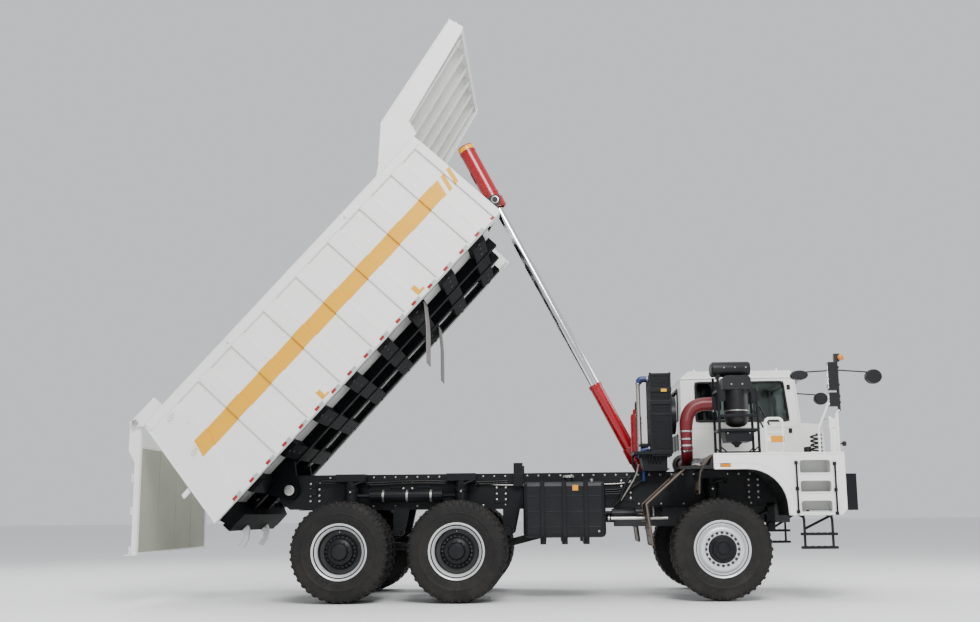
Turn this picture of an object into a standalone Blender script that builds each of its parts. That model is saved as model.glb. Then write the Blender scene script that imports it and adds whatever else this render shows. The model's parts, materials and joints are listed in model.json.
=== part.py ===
"""A six-wheeled, wide-body mining dump truck with its bed raised and its tailgate hanging free.

Metres, +Z up, +X ahead, +Y to the truck's left. Chassis parts are drawn from the front axle's
line on the ground. Parts of the bed are drawn from the bed's hinge, with the bed lowered and level,
and the hinge empty then raises them. Every node is one closed solid.
"""

import math

import bpy
import bmesh
from mathutils import Matrix, Vector

for leftover in list(bpy.data.objects):
    bpy.data.objects.remove(leftover, do_unlink=True)

# ---------------------------------------------------------------- driving sizes
GAP = 0.0003            # between two pieces that rest on each other
PIN_SIDES = 20          # flats round a pin and round the bore that turns on it

TYRE_RADIUS = 0.685
TYRE_WIDTH = 0.385
RIM_RADIUS = 0.358      # where the tyre's bead seats
TYRE_SIDES = 28         # flats round a tyre, one of them on the ground
FRONT_HALF_TRACK = 1.364
OUTER_TYRE_Y = 1.510
INNER_TYRE_Y = 1.080
MIDDLE_AXLE_X = -3.563
BOGIE_SPREAD = 1.590
REAR_AXLE_X = MIDDLE_AXLE_X - BOGIE_SPREAD
AXLE_Z = TYRE_RADIUS

RAIL_TOP = 1.755
RAIL_DEPTH = 0.495
RAIL_OUTER_Y = 0.500
RAIL_WIDTH = 0.100
RAIL_BOTTOM = RAIL_TOP - RAIL_DEPTH
RAIL_FRONT_X = 1.550

HINGE_X = -6.080
HINGE_Z = 1.540
BED_ANGLE = math.radians(47.35)
BED_HALF_WIDTH = 1.740
BED_FRONT_U = 4.950
BED_REAR_U = -0.853     # lower rear corner of the sides
BED_SIDE_LOW = 0.253    # heights in the bed are above its hinge
BED_SIDE_TOP = 1.908
BED_FLOOR_TOP = 0.430
BED_WALL = 0.110
BED_REAR_LEAN = math.radians(9.85)
RIB_PITCH = 0.655
RIB_WIDTH = 0.243
FIRST_RIB_U = 0.388
BED_BEAM_LOW = 0.2205

TAILGATE_PIN_U = -0.624
TAILGATE_PIN_V = 2.034
TAILGATE_HEIGHT = 1.795
TAILGATE_HALF_WIDTH = 1.654
TAILGATE_FACE = 0.060   # the face towards the load, ahead of the pin

TRUNNION_U = 5.274
TRUNNION_V = 0.750
HOIST_PIVOT_X = -0.790
HOIST_PIVOT_Z = 1.520

DECK_TOP = 1.9497
ARCH_TOP = RAIL_TOP
DECK_HALF_WIDTH = 1.620
DECK_REAR_X = -0.081
DECK_FRONT_X = 1.660
CAB_REAR_X = -0.340
CAB_FRONT_X = 1.330
CAB_RIGHT_Y = -0.250
CAB_LEFT_Y = 1.600
CAB_TOP = 3.230
CAB_WALL = 0.060
NOSE_FRONT_X = 1.730
NOSE_TOP = 2.430

LEFT, RIGHT = 1, -1
SIDE_NAME = {LEFT: "left", RIGHT: "right"}

# ---------------------------------------------------------------- finishes
FINISHES = {
    "white_paint": ((0.86, 0.87, 0.84), 0.35, 0.0),
    "black_paint": ((0.022, 0.025, 0.028), 0.45, 0.0),
    "engine_grey": ((0.10, 0.11, 0.12), 0.55, 0.2),
    "tyre_rubber": ((0.020, 0.020, 0.021), 0.85, 0.0),
    "rim_silver": ((0.62, 0.63, 0.64), 0.38, 0.6),
    "hoist_red": ((0.70, 0.02, 0.03), 0.30, 0.0),
    "chrome": ((0.80, 0.81, 0.83), 0.08, 1.0),
    "grey_rubber": ((0.20, 0.19, 0.18), 0.75, 0.0),
    "red_silicone": ((0.45, 0.02, 0.02), 0.40, 0.0),
    "black_plastic": ((0.03, 0.03, 0.032), 0.50, 0.0),
    "window_glass": ((0.30, 0.36, 0.36), 0.05, 0.0),
    "seat_cloth": ((0.09, 0.09, 0.10), 0.90, 0.0),
}


def finish(name):
    """The named Principled material, made on its first use."""
    if name in bpy.data.materials:
        return bpy.data.materials[name]
    colour, roughness, metallic = FINISHES[name]
    material = bpy.data.materials.new(name)
    material.use_nodes = True
    shader = material.node_tree.nodes["Principled BSDF"]
    shader.inputs["Base Color"].default_value = (*colour, 1.0)
    shader.inputs["Roughness"].default_value = roughness
    shader.inputs["Metallic"].default_value = metallic
    return material


# ---------------------------------------------------------------- shapes
def solid_from(vertices, faces):
    """A closed solid as a loose object, with its faces turned outwards."""
    mesh = bpy.data.meshes.new("shape")
    mesh.from_pydata([tuple(v) for v in vertices], [], faces)
    shape = bmesh.new()
    shape.from_mesh(mesh)
    bmesh.ops.recalc_face_normals(shape, faces=shape.faces)
    if shape.calc_volume(signed=True) < 0:
        bmesh.ops.reverse_faces(shape, faces=shape.faces)
    shape.to_mesh(mesh)
    shape.free()
    obj = bpy.data.objects.new("shape", mesh)
    bpy.context.collection.objects.link(obj)
    return obj


def prism(outline, low, high, along="Y"):
    """An outline drawn out between two heights: (x, z) along Y, (x, y) along Z or (y, z) along X."""
    spread = {
        "X": lambda a, b, height: (height, a, b),
        "Y": lambda a, b, height: (a, height, b),
        "Z": lambda a, b, height: (a, b, height),
    }[along]
    count = len(outline)
    vertices = [spread(a, b, height) for height in (low, high) for a, b in outline]
    sides = [(i, (i + 1) % count, count + (i + 1) % count, count + i) for i in range(count)]
    caps = [tuple(range(count)), tuple(range(2 * count - 1, count - 1, -1))]
    return solid_from(vertices, sides + caps)


def box(x, y, z):
    """A block between pairs of x, y and z."""
    return prism([(x[0], y[0]), (x[1], y[0]), (x[1], y[1]), (x[0], y[1])], z[0], z[1], along="Z")


def rod(start, end, radius, sides=12):
    """A round bar between two points."""
    start, end = Vector(start), Vector(end)
    turn = (end - start).to_track_quat("Z", "Y").to_matrix()
    rings = []
    for centre in (start, end):
        for i in range(sides):
            angle = 2 * math.pi * (i + 0.5) / sides
            rings.append(centre + turn @ Vector((radius * math.cos(angle), radius * math.sin(angle), 0)))
    around = [(i, (i + 1) % sides, sides + (i + 1) % sides, sides + i) for i in range(sides)]
    caps = [tuple(range(sides)), tuple(range(2 * sides - 1, sides - 1, -1))]
    return solid_from(rings, around + caps)


def turned(profile, axis="Y", sides=32, centre=(0, 0, 0)):
    """A ring: a closed profile of (place along the axis, radius) turned about the axis."""
    place = {
        "X": lambda along, r, a: (along, r * math.cos(a), r * math.sin(a)),
        "Y": lambda along, r, a: (r * math.cos(a), along, r * math.sin(a)),
        "Z": lambda along, r, a: (r * math.cos(a), r * math.sin(a), along),
    }[axis]
    count = len(profile)
    vertices = []
    for i in range(sides):
        angle = 2 * math.pi * (i + 0.5) / sides
        for along, radius in profile:
            vertices.append(Vector(centre) + Vector(place(along, radius, angle)))
    faces = []
    for i in range(sides):
        here, there = i * count, (i + 1) % sides * count
        for j in range(count):
            k = (j + 1) % count
            faces.append((here + j, here + k, there + k, there + j))
    return solid_from(vertices, faces)


def pin(start, end, radius):
    """A shaft that something turns on."""
    return rod(start, end, radius, PIN_SIDES)


def bore(start, end, pin_radius):
    """The cutter for a bore that turns freely on a pin of the given radius."""
    return rod(start, end, (pin_radius + GAP) / math.cos(math.pi / PIN_SIDES), PIN_SIDES)


def pipe(points, radius, sides=10):
    """A round tube, closed at its ends, through the points."""
    points = [Vector(p) for p in points]
    ahead = (points[1] - points[0]).normalized()
    across = ahead.orthogonal().normalized()
    vertices = []
    for i, point in enumerate(points):
        before = (point - points[i - 1]).normalized() if i else ahead
        after = (points[i + 1] - point).normalized() if i + 1 < len(points) else before
        middle = (before + after).normalized()
        across = (across - across.project(middle)).normalized()
        over = middle.cross(across)
        stretch = 1 / max(0.5, middle.dot(after))
        for j in range(sides):
            angle = 2 * math.pi * (j + 0.5) / sides
            offset = across * math.cos(angle) + over * math.sin(angle)
            vertices.append(point + offset * radius * (stretch if 0 < i < len(points) - 1 else 1))
    faces = [tuple(range(sides)), tuple(range(len(vertices) - 1, len(vertices) - sides - 1, -1))]
    for i in range(len(points) - 1):
        for j in range(sides):
            k = (j + 1) % sides
            faces.append((i * sides + j, i * sides + k, (i + 1) * sides + k, (i + 1) * sides + j))
    return solid_from(vertices, faces)


def combine(base, other, operation):
    """Applies one Boolean to base and throws the other shape away."""
    modifier = base.modifiers.new(operation, "BOOLEAN")
    modifier.object = other
    modifier.operation = operation
    modifier.solver = "EXACT"
    graph = bpy.context.evaluated_depsgraph_get()
    result = bpy.data.meshes.new_from_object(base.evaluated_get(graph))
    base.modifiers.clear()
    base.data = result
    bpy.data.objects.remove(other, do_unlink=True)


def node(name, material, parent, pieces, cuts=()):
    """One named solid: the pieces joined, the cuts taken away, in its parent's own frame."""
    base = pieces[0]
    for piece in pieces[1:]:
        combine(base, piece, "UNION")
    for cutter in cuts:
        combine(base, cutter, "DIFFERENCE")
    base.name = name
    base.data.name = name
    base.data.materials.clear()
    base.data.materials.append(finish(material))
    base.data.shade_smooth()
    base.data.set_sharp_from_angle(angle=math.radians(35))
    base.parent = parent
    return base


def empty(name, parent=None, location=(0, 0, 0), turn_y=0.0):
    """A joint's axis or a group's frame."""
    frame = bpy.data.objects.new(name, None)
    bpy.context.collection.objects.link(frame)
    frame.parent = parent
    frame.location = location
    frame.rotation_euler = (0, turn_y, 0)
    return frame


def arc(centre, radius, start, end, steps):
    """Points on an arc, angles in degrees."""
    points = []
    for i in range(steps + 1):
        angle = math.radians(start + (end - start) * i / steps)
        points.append((centre[0] + radius * math.cos(angle), centre[1] + radius * math.sin(angle)))
    return points


# ---------------------------------------------------------------- frames of motion
truck = empty("truck")
bed_hinge = empty("bed_hinge", truck, (HINGE_X, 0, HINGE_Z), -BED_ANGLE)
tailgate_hinge = empty("tailgate_hinge", bed_hinge, (TAILGATE_PIN_U, 0, TAILGATE_PIN_V), BED_ANGLE)

trunnion_x = HINGE_X + TRUNNION_U * math.cos(BED_ANGLE) - TRUNNION_V * math.sin(BED_ANGLE)
trunnion_z = HINGE_Z + TRUNNION_U * math.sin(BED_ANGLE) + TRUNNION_V * math.cos(BED_ANGLE)
HOIST_OPEN = math.hypot(trunnion_x - HOIST_PIVOT_X, trunnion_z - HOIST_PIVOT_Z)
HOIST_CLOSED = math.hypot(HINGE_X + TRUNNION_U - HOIST_PIVOT_X, HINGE_Z + TRUNNION_V - HOIST_PIVOT_Z)
HOIST_LEAN = math.atan2(trunnion_x - HOIST_PIVOT_X, trunnion_z - HOIST_PIVOT_Z)
hoist_pivot = empty("hoist_pivot", truck, (HOIST_PIVOT_X, 0, HOIST_PIVOT_Z), HOIST_LEAN)


# ---------------------------------------------------------------- wheels
def tyre_profile(centre_y):
    """The section of one tyre, from bead to bead over the tread."""
    half = TYRE_WIDTH / 2
    wall = TYRE_RADIUS / math.cos(math.pi / TYRE_SIDES) - RIM_RADIUS
    side = [(0.74, 0.0), (0.95, 0.24), (1.0, 0.52), (0.93, 0.84), (0.70, 1.0)]
    right = [(centre_y - half * a, RIM_RADIUS + wall * b) for a, b in side]
    left = [(centre_y + half * a, RIM_RADIUS + wall * b) for a, b in reversed(side)]
    return right + left


SPINDLE_RADIUS = 0.055
RIM_HALF = 0.150
DISC_RADIUS = RIM_RADIUS - 0.034


def front_wheel(side):
    name = SIDE_NAME[side]
    centre = empty(f"front_{name}_wheel_axis", truck, (0, side * FRONT_HALF_TRACK, AXLE_Z))
    node(f"front_{name}_tyre", "tyre_rubber", centre, [turned(tyre_profile(0), sides=TYRE_SIDES)])
    seat = RIM_RADIUS - GAP
    band = [(-RIM_HALF, DISC_RADIUS), (RIM_HALF, DISC_RADIUS), (RIM_HALF, seat), (-RIM_HALF, seat)]
    disc = rod((0, side * 0.075, 0), (0, side * 0.105, 0), DISC_RADIUS + 0.01, TYRE_SIDES)
    hub = rod((0, side * 0.02, 0), (0, side * 0.165, 0), 0.19, 16)
    centre_bore = bore((0, side * -0.2, 0), (0, side * 0.10, 0), SPINDLE_RADIUS)
    node(f"front_{name}_rim", "rim_silver", centre, [turned(band, sides=TYRE_SIDES), disc, hub], [centre_bore])


def dual_wheel(axle, x, side):
    """Two tyres on one band, and the hub whose disc carries the band between them."""
    name = f"{axle}_{SIDE_NAME[side]}"
    centre = empty(f"{name}_wheel_axis", truck, (x, 0, AXLE_Z))
    ends = (INNER_TYRE_Y - RIM_HALF, OUTER_TYRE_Y + RIM_HALF)
    profile = [(ends[0], DISC_RADIUS), (ends[0], RIM_RADIUS), *tyre_profile(INNER_TYRE_Y), *tyre_profile(OUTER_TYRE_Y),
               (ends[1], RIM_RADIUS), (ends[1], DISC_RADIUS)]
    node(f"{name}_tyres", "tyre_rubber", centre, [turned([(side * y, r) for y, r in profile], sides=TYRE_SIDES)])
    middle = (INNER_TYRE_Y + OUTER_TYRE_Y) / 2
    disc = rod((0, side * (middle - 0.02), 0), (0, side * (middle + 0.02), 0), DISC_RADIUS - GAP, TYRE_SIDES)
    hub = rod((0, side * 1.0, 0), (0, side * 1.60, 0), 0.165, 16)
    node(f"{name}_hub", "rim_silver", centre, [disc, hub], [bore((0, side * 0.9, 0), (0, side * 1.42, 0), SPINDLE_RADIUS)])


for side in (LEFT, RIGHT):
    front_wheel(side)
    dual_wheel("middle", MIDDLE_AXLE_X, side)
    dual_wheel("rear", REAR_AXLE_X, side)

# ---------------------------------------------------------------- axles, knuckles and suspension
KINGPIN_Y = 1.060
KINGPIN_RADIUS = 0.038
JAW = 0.150             # half the opening of the axle's fork
STRUT_Y = 0.700
STRUT_RADIUS = 0.092
STRUT_TOP = RAIL_TOP - 0.105


def front_axle():
    beam = prism([(-0.945, 0.56), (0.945, 0.56), (0.945, 0.80), (0.60, 0.80), (0.45, 0.74), (-0.45, 0.74),
                  (-0.60, 0.80), (-0.945, 0.80)], -0.11, 0.11, along="X")
    pieces = [beam]
    for side in (LEFT, RIGHT):
        y = (side * 0.95, side * (KINGPIN_Y + 0.08))
        for direction in (1, -1):
            jaw = sorted((AXLE_Z + direction * JAW, AXLE_Z + direction * (JAW + 0.05)))
            pieces.append(box((-0.085, 0.085), sorted(y), jaw))
        post = sorted((side * 0.93, side * 0.965))
        pieces.append(box((-0.085, 0.085), post, (AXLE_Z - JAW - 0.05, AXLE_Z + JAW + 0.05)))
        pin_ends = [(0, side * KINGPIN_Y, AXLE_Z + d * (JAW + 0.07)) for d in (-1, 1)]
        pieces.append(pin(*pin_ends, KINGPIN_RADIUS))
        pieces.append(rod((0, side * STRUT_Y, 0.76), (0, side * STRUT_Y, 1.20), 0.060, 12))
        pieces.append(rod((0, side * STRUT_Y, 1.12), (0, side * STRUT_Y, STRUT_TOP - GAP), STRUT_RADIUS, 14))
    node("front_axle", "black_paint", truck, pieces)


def steering_knuckle(side):
    """The block that turns on the kingpin, with its spindle, brake drum and steering arm."""
    pivot = empty(f"{SIDE_NAME[side]}_kingpin", truck, (0, side * KINGPIN_Y, AXLE_Z))
    reach = FRONT_HALF_TRACK - KINGPIN_Y
    high = JAW - 0.006
    block = rod((0, 0, -high), (0, 0, high), 0.075, 20)
    neck = box((-0.06, 0.06), sorted((side * 0.03, side * 0.13)), (-0.10, 0.10))
    drum = rod((0, side * 0.115, 0), (0, side * (reach - 0.02), 0), 0.255, 20)
    spindle = pin((0, side * 0.12, 0), (0, side * (reach + 0.08), 0), SPINDLE_RADIUS)
    arm = box((-0.26, -0.02), (-0.03, 0.03), (-0.125, -0.085))
    node(f"{SIDE_NAME[side]}_steering_knuckle", "black_paint", pivot,
         [block, neck, drum, spindle, arm], [bore((0, 0, -0.3), (0, 0, 0.3), KINGPIN_RADIUS)])


def drive_axle(name, x, shaft_to=None):
    """A banjo housing with its spindles, torque arms and, on the rear one, the shaft ahead of it."""
    pieces = [
        rod((0, -0.86, AXLE_Z), (0, 0.86, AXLE_Z), 0.125, 12),
        rod((0, -0.19, AXLE_Z), (0, 0.19, AXLE_Z), 0.270, 16),
        rod((0, 0, AXLE_Z + 0.03), (0.42, 0, AXLE_Z + 0.03), 0.110, 12),
    ]
    for side in (LEFT, RIGHT):
        pieces.append(pin((0, side * 0.84, AXLE_Z), (0, side * 1.40, AXLE_Z), SPINDLE_RADIUS))
        pieces.append(rod((0, side * 0.80, AXLE_Z), (0, side * 0.98, AXLE_Z), 0.250, 16))
        pieces.append(box((-0.09, 0.09), sorted((side * 0.62, side * 0.80)), (AXLE_Z, 0.85)))
        pieces.append(rod((0, side * 0.60, AXLE_Z), (0.66, side * 0.60, 0.93), 0.038, 12))
        pieces.append(rod((0.66, side * 0.52, 0.93), (0.66, side * 0.68, 0.93), 0.055, 14))
    if shaft_to:
        pieces.append(rod((0.40, 0, AXLE_Z + 0.03), (shaft_to, 0, AXLE_Z + 0.03), 0.055, 14))
    axle = node(name, "black_paint", truck, pieces)
    axle.location.x = x


front_axle()
for side in (LEFT, RIGHT):
    steering_knuckle(side)
drive_axle("middle_axle", MIDDLE_AXLE_X)
drive_axle("rear_axle", REAR_AXLE_X, BOGIE_SPREAD - 0.27 - GAP)


def rear_suspension(side):
    """Two gas struts over the axles, and the reservoir between them."""
    y = side * STRUT_Y
    pieces = []
    for x in (REAR_AXLE_X, MIDDLE_AXLE_X):
        pieces.append(rod((x, y, 1.02), (x, y, STRUT_TOP - GAP), STRUT_RADIUS, 14))
        pieces.append(rod((x, y, 0.85 + GAP), (x, y, 1.10), 0.062, 12))
    low, high = REAR_AXLE_X + 0.26, MIDDLE_AXLE_X - 0.28
    pieces.append(rod((low, side * 0.62, 1.445), (high, side * 0.62, 1.445), 0.083, 14))
    pieces.append(rod((REAR_AXLE_X, y, 1.445), (low + 0.05, side * 0.64, 1.445), 0.03, 10))
    pieces.append(rod((MIDDLE_AXLE_X, y, 1.445), (high - 0.05, side * 0.64, 1.445), 0.03, 10))
    node(f"rear_suspension_{SIDE_NAME[side]}", "black_paint", truck, pieces)


for side in (LEFT, RIGHT):
    rear_suspension(side)

# ---------------------------------------------------------------- chassis frame
GUIDE_X = (-2.820, -2.680)
HINGE_PIN_RADIUS = 0.050
HINGE_BOSS_RADIUS = 0.145
HOIST_PIN_RADIUS = 0.040
TAILGATE_PIN_RADIUS = 0.030
EAR_IN, EAR_OUT = RAIL_OUTER_Y + 0.012, RAIL_OUTER_Y + 0.092


def chassis_frame():
    tail_x = HINGE_X - 0.165
    inner = RAIL_OUTER_Y - RAIL_WIDTH
    rail = [(tail_x, RAIL_TOP - 0.10), (tail_x + 0.165, RAIL_TOP), (RAIL_FRONT_X, RAIL_TOP),
            (RAIL_FRONT_X, RAIL_BOTTOM + 0.1), (0.8, RAIL_BOTTOM), (tail_x + 0.16, RAIL_BOTTOM),
            (tail_x, RAIL_BOTTOM + 0.12)]
    pieces = []
    for side in (LEFT, RIGHT):
        pieces.append(prism(rail, *sorted((side * inner, side * RAIL_OUTER_Y))))
        for x in (REAR_AXLE_X, MIDDLE_AXLE_X, 0.0):
            top = box((x - 0.21, x + 0.21), sorted((side * (RAIL_OUTER_Y - 0.02), side * 0.80)),
                      (STRUT_TOP, ARCH_TOP - GAP))
            pieces.append(top)
        for x in (REAR_AXLE_X + 0.66, MIDDLE_AXLE_X + 0.66):
            hanger = [(x - 0.075, 1.30), (x - 0.075, 0.90), (x, 0.85), (x + 0.075, 0.90), (x + 0.16, 1.30)]
            pieces.append(prism(hanger, *sorted((side * inner, side * (0.52 - GAP)))))
        guide_base = sorted((side * (RAIL_OUTER_Y - 0.02), side * (RAIL_OUTER_Y + 0.10)))
        pieces.append(box(GUIDE_X, guide_base, (RAIL_TOP - 0.19, RAIL_TOP - 0.01)))
        horn_x = (GUIDE_X[0] + 0.004, GUIDE_X[1] - 0.004)
        horn_y = sorted((side * (RAIL_OUTER_Y + 0.008), side * (RAIL_OUTER_Y + 0.096)))
        pieces.append(box(horn_x, horn_y, (RAIL_TOP - 0.10, RAIL_TOP + 0.145)))
    for x in (-5.70, REAR_AXLE_X + 0.80, -3.00, -1.80, 1.42):
        pieces.append(box((x - 0.06, x + 0.06), (-inner - 0.02, inner + 0.02), (RAIL_BOTTOM + 0.05, RAIL_TOP - 0.05)))
    pin_end = EAR_OUT + 0.02
    pieces.append(pin((HINGE_X, -pin_end, HINGE_Z), (HINGE_X, pin_end, HINGE_Z), HINGE_PIN_RADIUS))
    hoist_bar = HOIST_PIVOT_X
    pieces.append(box((hoist_bar - 0.13, hoist_bar + 0.13), (-inner - 0.02, -0.14), (HOIST_PIVOT_Z - 0.10, HOIST_PIVOT_Z + 0.10)))
    pieces.append(box((hoist_bar - 0.13, hoist_bar + 0.13), (0.14, inner + 0.02), (HOIST_PIVOT_Z - 0.10, HOIST_PIVOT_Z + 0.10)))
    pieces.append(pin((hoist_bar, -0.16, HOIST_PIVOT_Z), (hoist_bar, 0.16, HOIST_PIVOT_Z), HOIST_PIN_RADIUS))
    node("chassis_frame", "black_paint", truck, pieces)


chassis_frame()


# ---------------------------------------------------------------- engine and drive line
TURBO_Y = -0.345


def engine():
    side_y = RAIL_OUTER_Y - RAIL_WIDTH - GAP
    block = box((-0.40, 1.15), (-0.34, 0.34), (1.02, 1.86))
    mounts = [box((x, x + 0.10), (-side_y, side_y), (1.45, 1.55)) for x in (-0.30, 0.95)]
    gearbox = box((-1.35, -0.38), (-0.22, 0.22), (0.98, 1.36))
    turbo = box((-0.46, -0.25), (TURBO_Y, -0.05), (1.75, 1.945))
    node("engine_block", "engine_grey", truck, [block, *mounts, gearbox, turbo])
    front_x, front_z = -1.35 - GAP, 1.12
    rear_x, rear_z = MIDDLE_AXLE_X + 0.42 + GAP, AXLE_Z + 0.03
    yokes = [rod((front_x, 0, front_z), (front_x - 0.12, 0, front_z), 0.085, 16),
             rod((rear_x + 0.12, 0, rear_z), (rear_x, 0, rear_z), 0.085, 16)]
    tube_between = rod((front_x - 0.08, 0, front_z), (rear_x + 0.08, 0, rear_z), 0.055, 16)
    node("drive_shaft", "black_paint", truck, [tube_between, *yokes])


engine()

# ---------------------------------------------------------------- tank and box beside the frame
TANK_X = (-2.670, -1.530)
TANK_Z = (0.845, 1.607)
TANK_DEPTH = 0.70
TANK_HANGERS = (-2.40, -2.10, -1.80)


def side_tank(name, material, side, bands):
    inner = RAIL_OUTER_Y + 0.06
    y = sorted((side * inner, side * (inner + TANK_DEPTH)))
    body = box(TANK_X, y, TANK_Z)
    bevel = body.modifiers.new("Bevel", "BEVEL")
    bevel.width = 0.06
    bevel.segments = 2
    graph = bpy.context.evaluated_depsgraph_get()
    rounded = bpy.data.meshes.new_from_object(body.evaluated_get(graph))
    body.modifiers.clear()
    body.data = rounded
    pieces = [body]
    for x in TANK_HANGERS:
        arm = sorted((side * (RAIL_OUTER_Y + GAP), side * (inner + TANK_DEPTH - 0.05)))
        pieces.append(box((x - 0.04, x + 0.04), arm, (TANK_Z[0] - 0.09, TANK_Z[0] + 0.02)))
        post = sorted((side * (RAIL_OUTER_Y + GAP), side * (inner + 0.02)))
        pieces.append(box((x - 0.04, x + 0.04), post, (TANK_Z[0] - 0.09, RAIL_BOTTOM + 0.25)))
        if bands:
            ring = sorted((side * (inner + 0.1), side * (inner + TANK_DEPTH + 0.012)))
            pieces.append(box((x - 0.025, x + 0.025), ring, (TANK_Z[0] - 0.012, TANK_Z[1] + 0.012)))
    if bands:
        neck_y = side * (inner + TANK_DEPTH / 2)
        pieces.append(rod((-2.03, neck_y, TANK_Z[1] - 0.02), (-2.03, neck_y, TANK_Z[1] + 0.06), 0.06, 16))
    node(name, material, truck, pieces)


side_tank("fuel_tank", "black_paint", RIGHT, True)
side_tank("battery_box", "black_paint", LEFT, False)


# ---------------------------------------------------------------- decks, front panel and bumper
ARCH_FRONT_X = 0.899
DECK_LOW = 1.122
STEP_X = (1.050, 1.475)
STEP_BANDS = ((1.154, 1.320), (1.417, 1.584), (1.669, 1.860))
LEG_INNER_Y = 1.050


def deck(side):
    """The wing over a front wheel: a plate, its skirt, and the leg with three step pockets."""
    outer = side * DECK_HALF_WIDTH
    plate = box((DECK_REAR_X, DECK_FRONT_X), sorted((side * 0.005, outer)), (DECK_TOP - 0.065, DECK_TOP))
    curve = arc((0.375, DECK_LOW + 0.10), 1, 90, 0, 8)
    width, height = ARCH_FRONT_X - 0.375, ARCH_TOP - DECK_LOW - 0.10
    arch = [(0.375 + (x - 0.375) * width, DECK_LOW + 0.10 + (z - DECK_LOW - 0.10) * height) for x, z in curve]
    skirt = [(DECK_REAR_X, ARCH_TOP), *arch, (ARCH_FRONT_X + 0.01, DECK_LOW), (DECK_FRONT_X - 0.08, DECK_LOW),
             (DECK_FRONT_X, DECK_LOW + 0.07), (DECK_FRONT_X, DECK_TOP - 0.01), (DECK_REAR_X, DECK_TOP - 0.01)]
    panel = prism(skirt, *sorted((outer, side * (DECK_HALF_WIDTH - 0.05))))
    leg = box((ARCH_FRONT_X + 0.03, DECK_FRONT_X - GAP), sorted((side * LEG_INNER_Y, side * (DECK_HALF_WIDTH - 0.01))),
              (DECK_LOW + 0.07, DECK_TOP - 0.01))
    lip = [(x, z) for x, z in arch] + [(ARCH_FRONT_X + 0.01, DECK_LOW), (ARCH_FRONT_X + 0.05, DECK_LOW)]
    liner = lip + [(x + 0.03, z + 0.03) for x, z in reversed(arch)] + [(DECK_REAR_X, ARCH_TOP + 0.03), (DECK_REAR_X, ARCH_TOP)]
    well = prism(liner, *sorted((side * 0.78, side * (DECK_HALF_WIDTH - 0.01))))
    rim_plate = box((DECK_REAR_X, DECK_REAR_X + 0.04), sorted((side * 0.78, side * (DECK_HALF_WIDTH - 0.01))),
                    (ARCH_TOP, DECK_TOP - 0.01))
    pockets = []
    for low, high in STEP_BANDS:
        pockets.append(box(STEP_X, sorted((side * (DECK_HALF_WIDTH - 0.26), side * 2)), (low, high)))
    node(f"{SIDE_NAME[side]}_deck", "white_paint", truck, [plate, panel, leg, well, rim_plate], pockets)


for side in (LEFT, RIGHT):
    deck(side)


def front_panel():
    half = LEG_INNER_Y - GAP
    panel = box((1.575, DECK_FRONT_X), (-half, half), (1.20, DECK_TOP - 0.065 - GAP))
    slots = [box((1.61, 1.70), (-0.62, 0.62), (z, z + 0.055)) for z in (1.34, 1.44, 1.54, 1.64)]
    struts = [box((RAIL_FRONT_X + GAP, 1.58), (y - 0.04, y + 0.04), (1.40, 1.65)) for y in (-0.45, 0.45)]
    node("front_panel", "white_paint", truck, [panel, *struts], slots)


BUMPER_X = (1.672, 1.820)
BUMPER_Z = (1.185, 1.670)


def bumper():
    """The black front bar, the two hanging steps under the decks and the bars that carry it."""
    half = DECK_HALF_WIDTH - 0.01
    outline = [(BUMPER_X[0], -half), (BUMPER_X[1], -half + 0.06), (BUMPER_X[1], half - 0.06), (BUMPER_X[0], half)]
    pieces = [prism(outline, *BUMPER_Z, along="Z")]
    for y in (-0.45, 0.45):
        pieces.append(box((DECK_FRONT_X + GAP, BUMPER_X[0] + 0.01), (y - 0.05, y + 0.05), (1.30, 1.45)))
    for side in (LEFT, RIGHT):
        arm_y = sorted((side * 1.0, side * (LEG_INNER_Y - 0.01)))
        pieces.append(box((BUMPER_X[0] - 0.60, BUMPER_X[0] + 0.01), arm_y, (DECK_LOW + 0.01, DECK_LOW + 0.05)))
        pieces.append(box((BUMPER_X[0] + 0.003, BUMPER_X[0] + 0.05), arm_y, (DECK_LOW + 0.01, BUMPER_Z[0] + 0.03)))
        for x in (1.070, 1.440):
            strap = [(1.02, DECK_LOW + 0.020), (1.02, DECK_LOW + 0.040), (1.57, DECK_LOW - 0.010), (1.612, DECK_LOW - 0.06),
                     (1.612, 0.69), (1.586, 0.69), (1.586, DECK_LOW - 0.07), (1.555, DECK_LOW - 0.035)]
            pieces.append(prism([(side * a, b) for a, b in strap], x, x + 0.030, along="X"))
        for z in (0.70, 0.877):
            pieces.append(box((1.05, 1.515), sorted((side * 1.50, side * 1.632)), (z - 0.020, z + 0.015)))
    node("bumper", "black_paint", truck, pieces)


front_panel()
bumper()

# ---------------------------------------------------------------- cab
DOOR_X = (0.250, 1.150)
DOOR_Z = (2.040, 3.080)
DOOR_GAP = 0.006
DOOR_PIN_Y = CAB_LEFT_Y + 0.012
DOOR_KNUCKLE = 0.010
HINGE_HEIGHTS = (2.200, 2.800)
WINDOW_Z = (2.480, 3.070)
FLOOR_THICK = 0.060
PANE = 0.010


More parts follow.
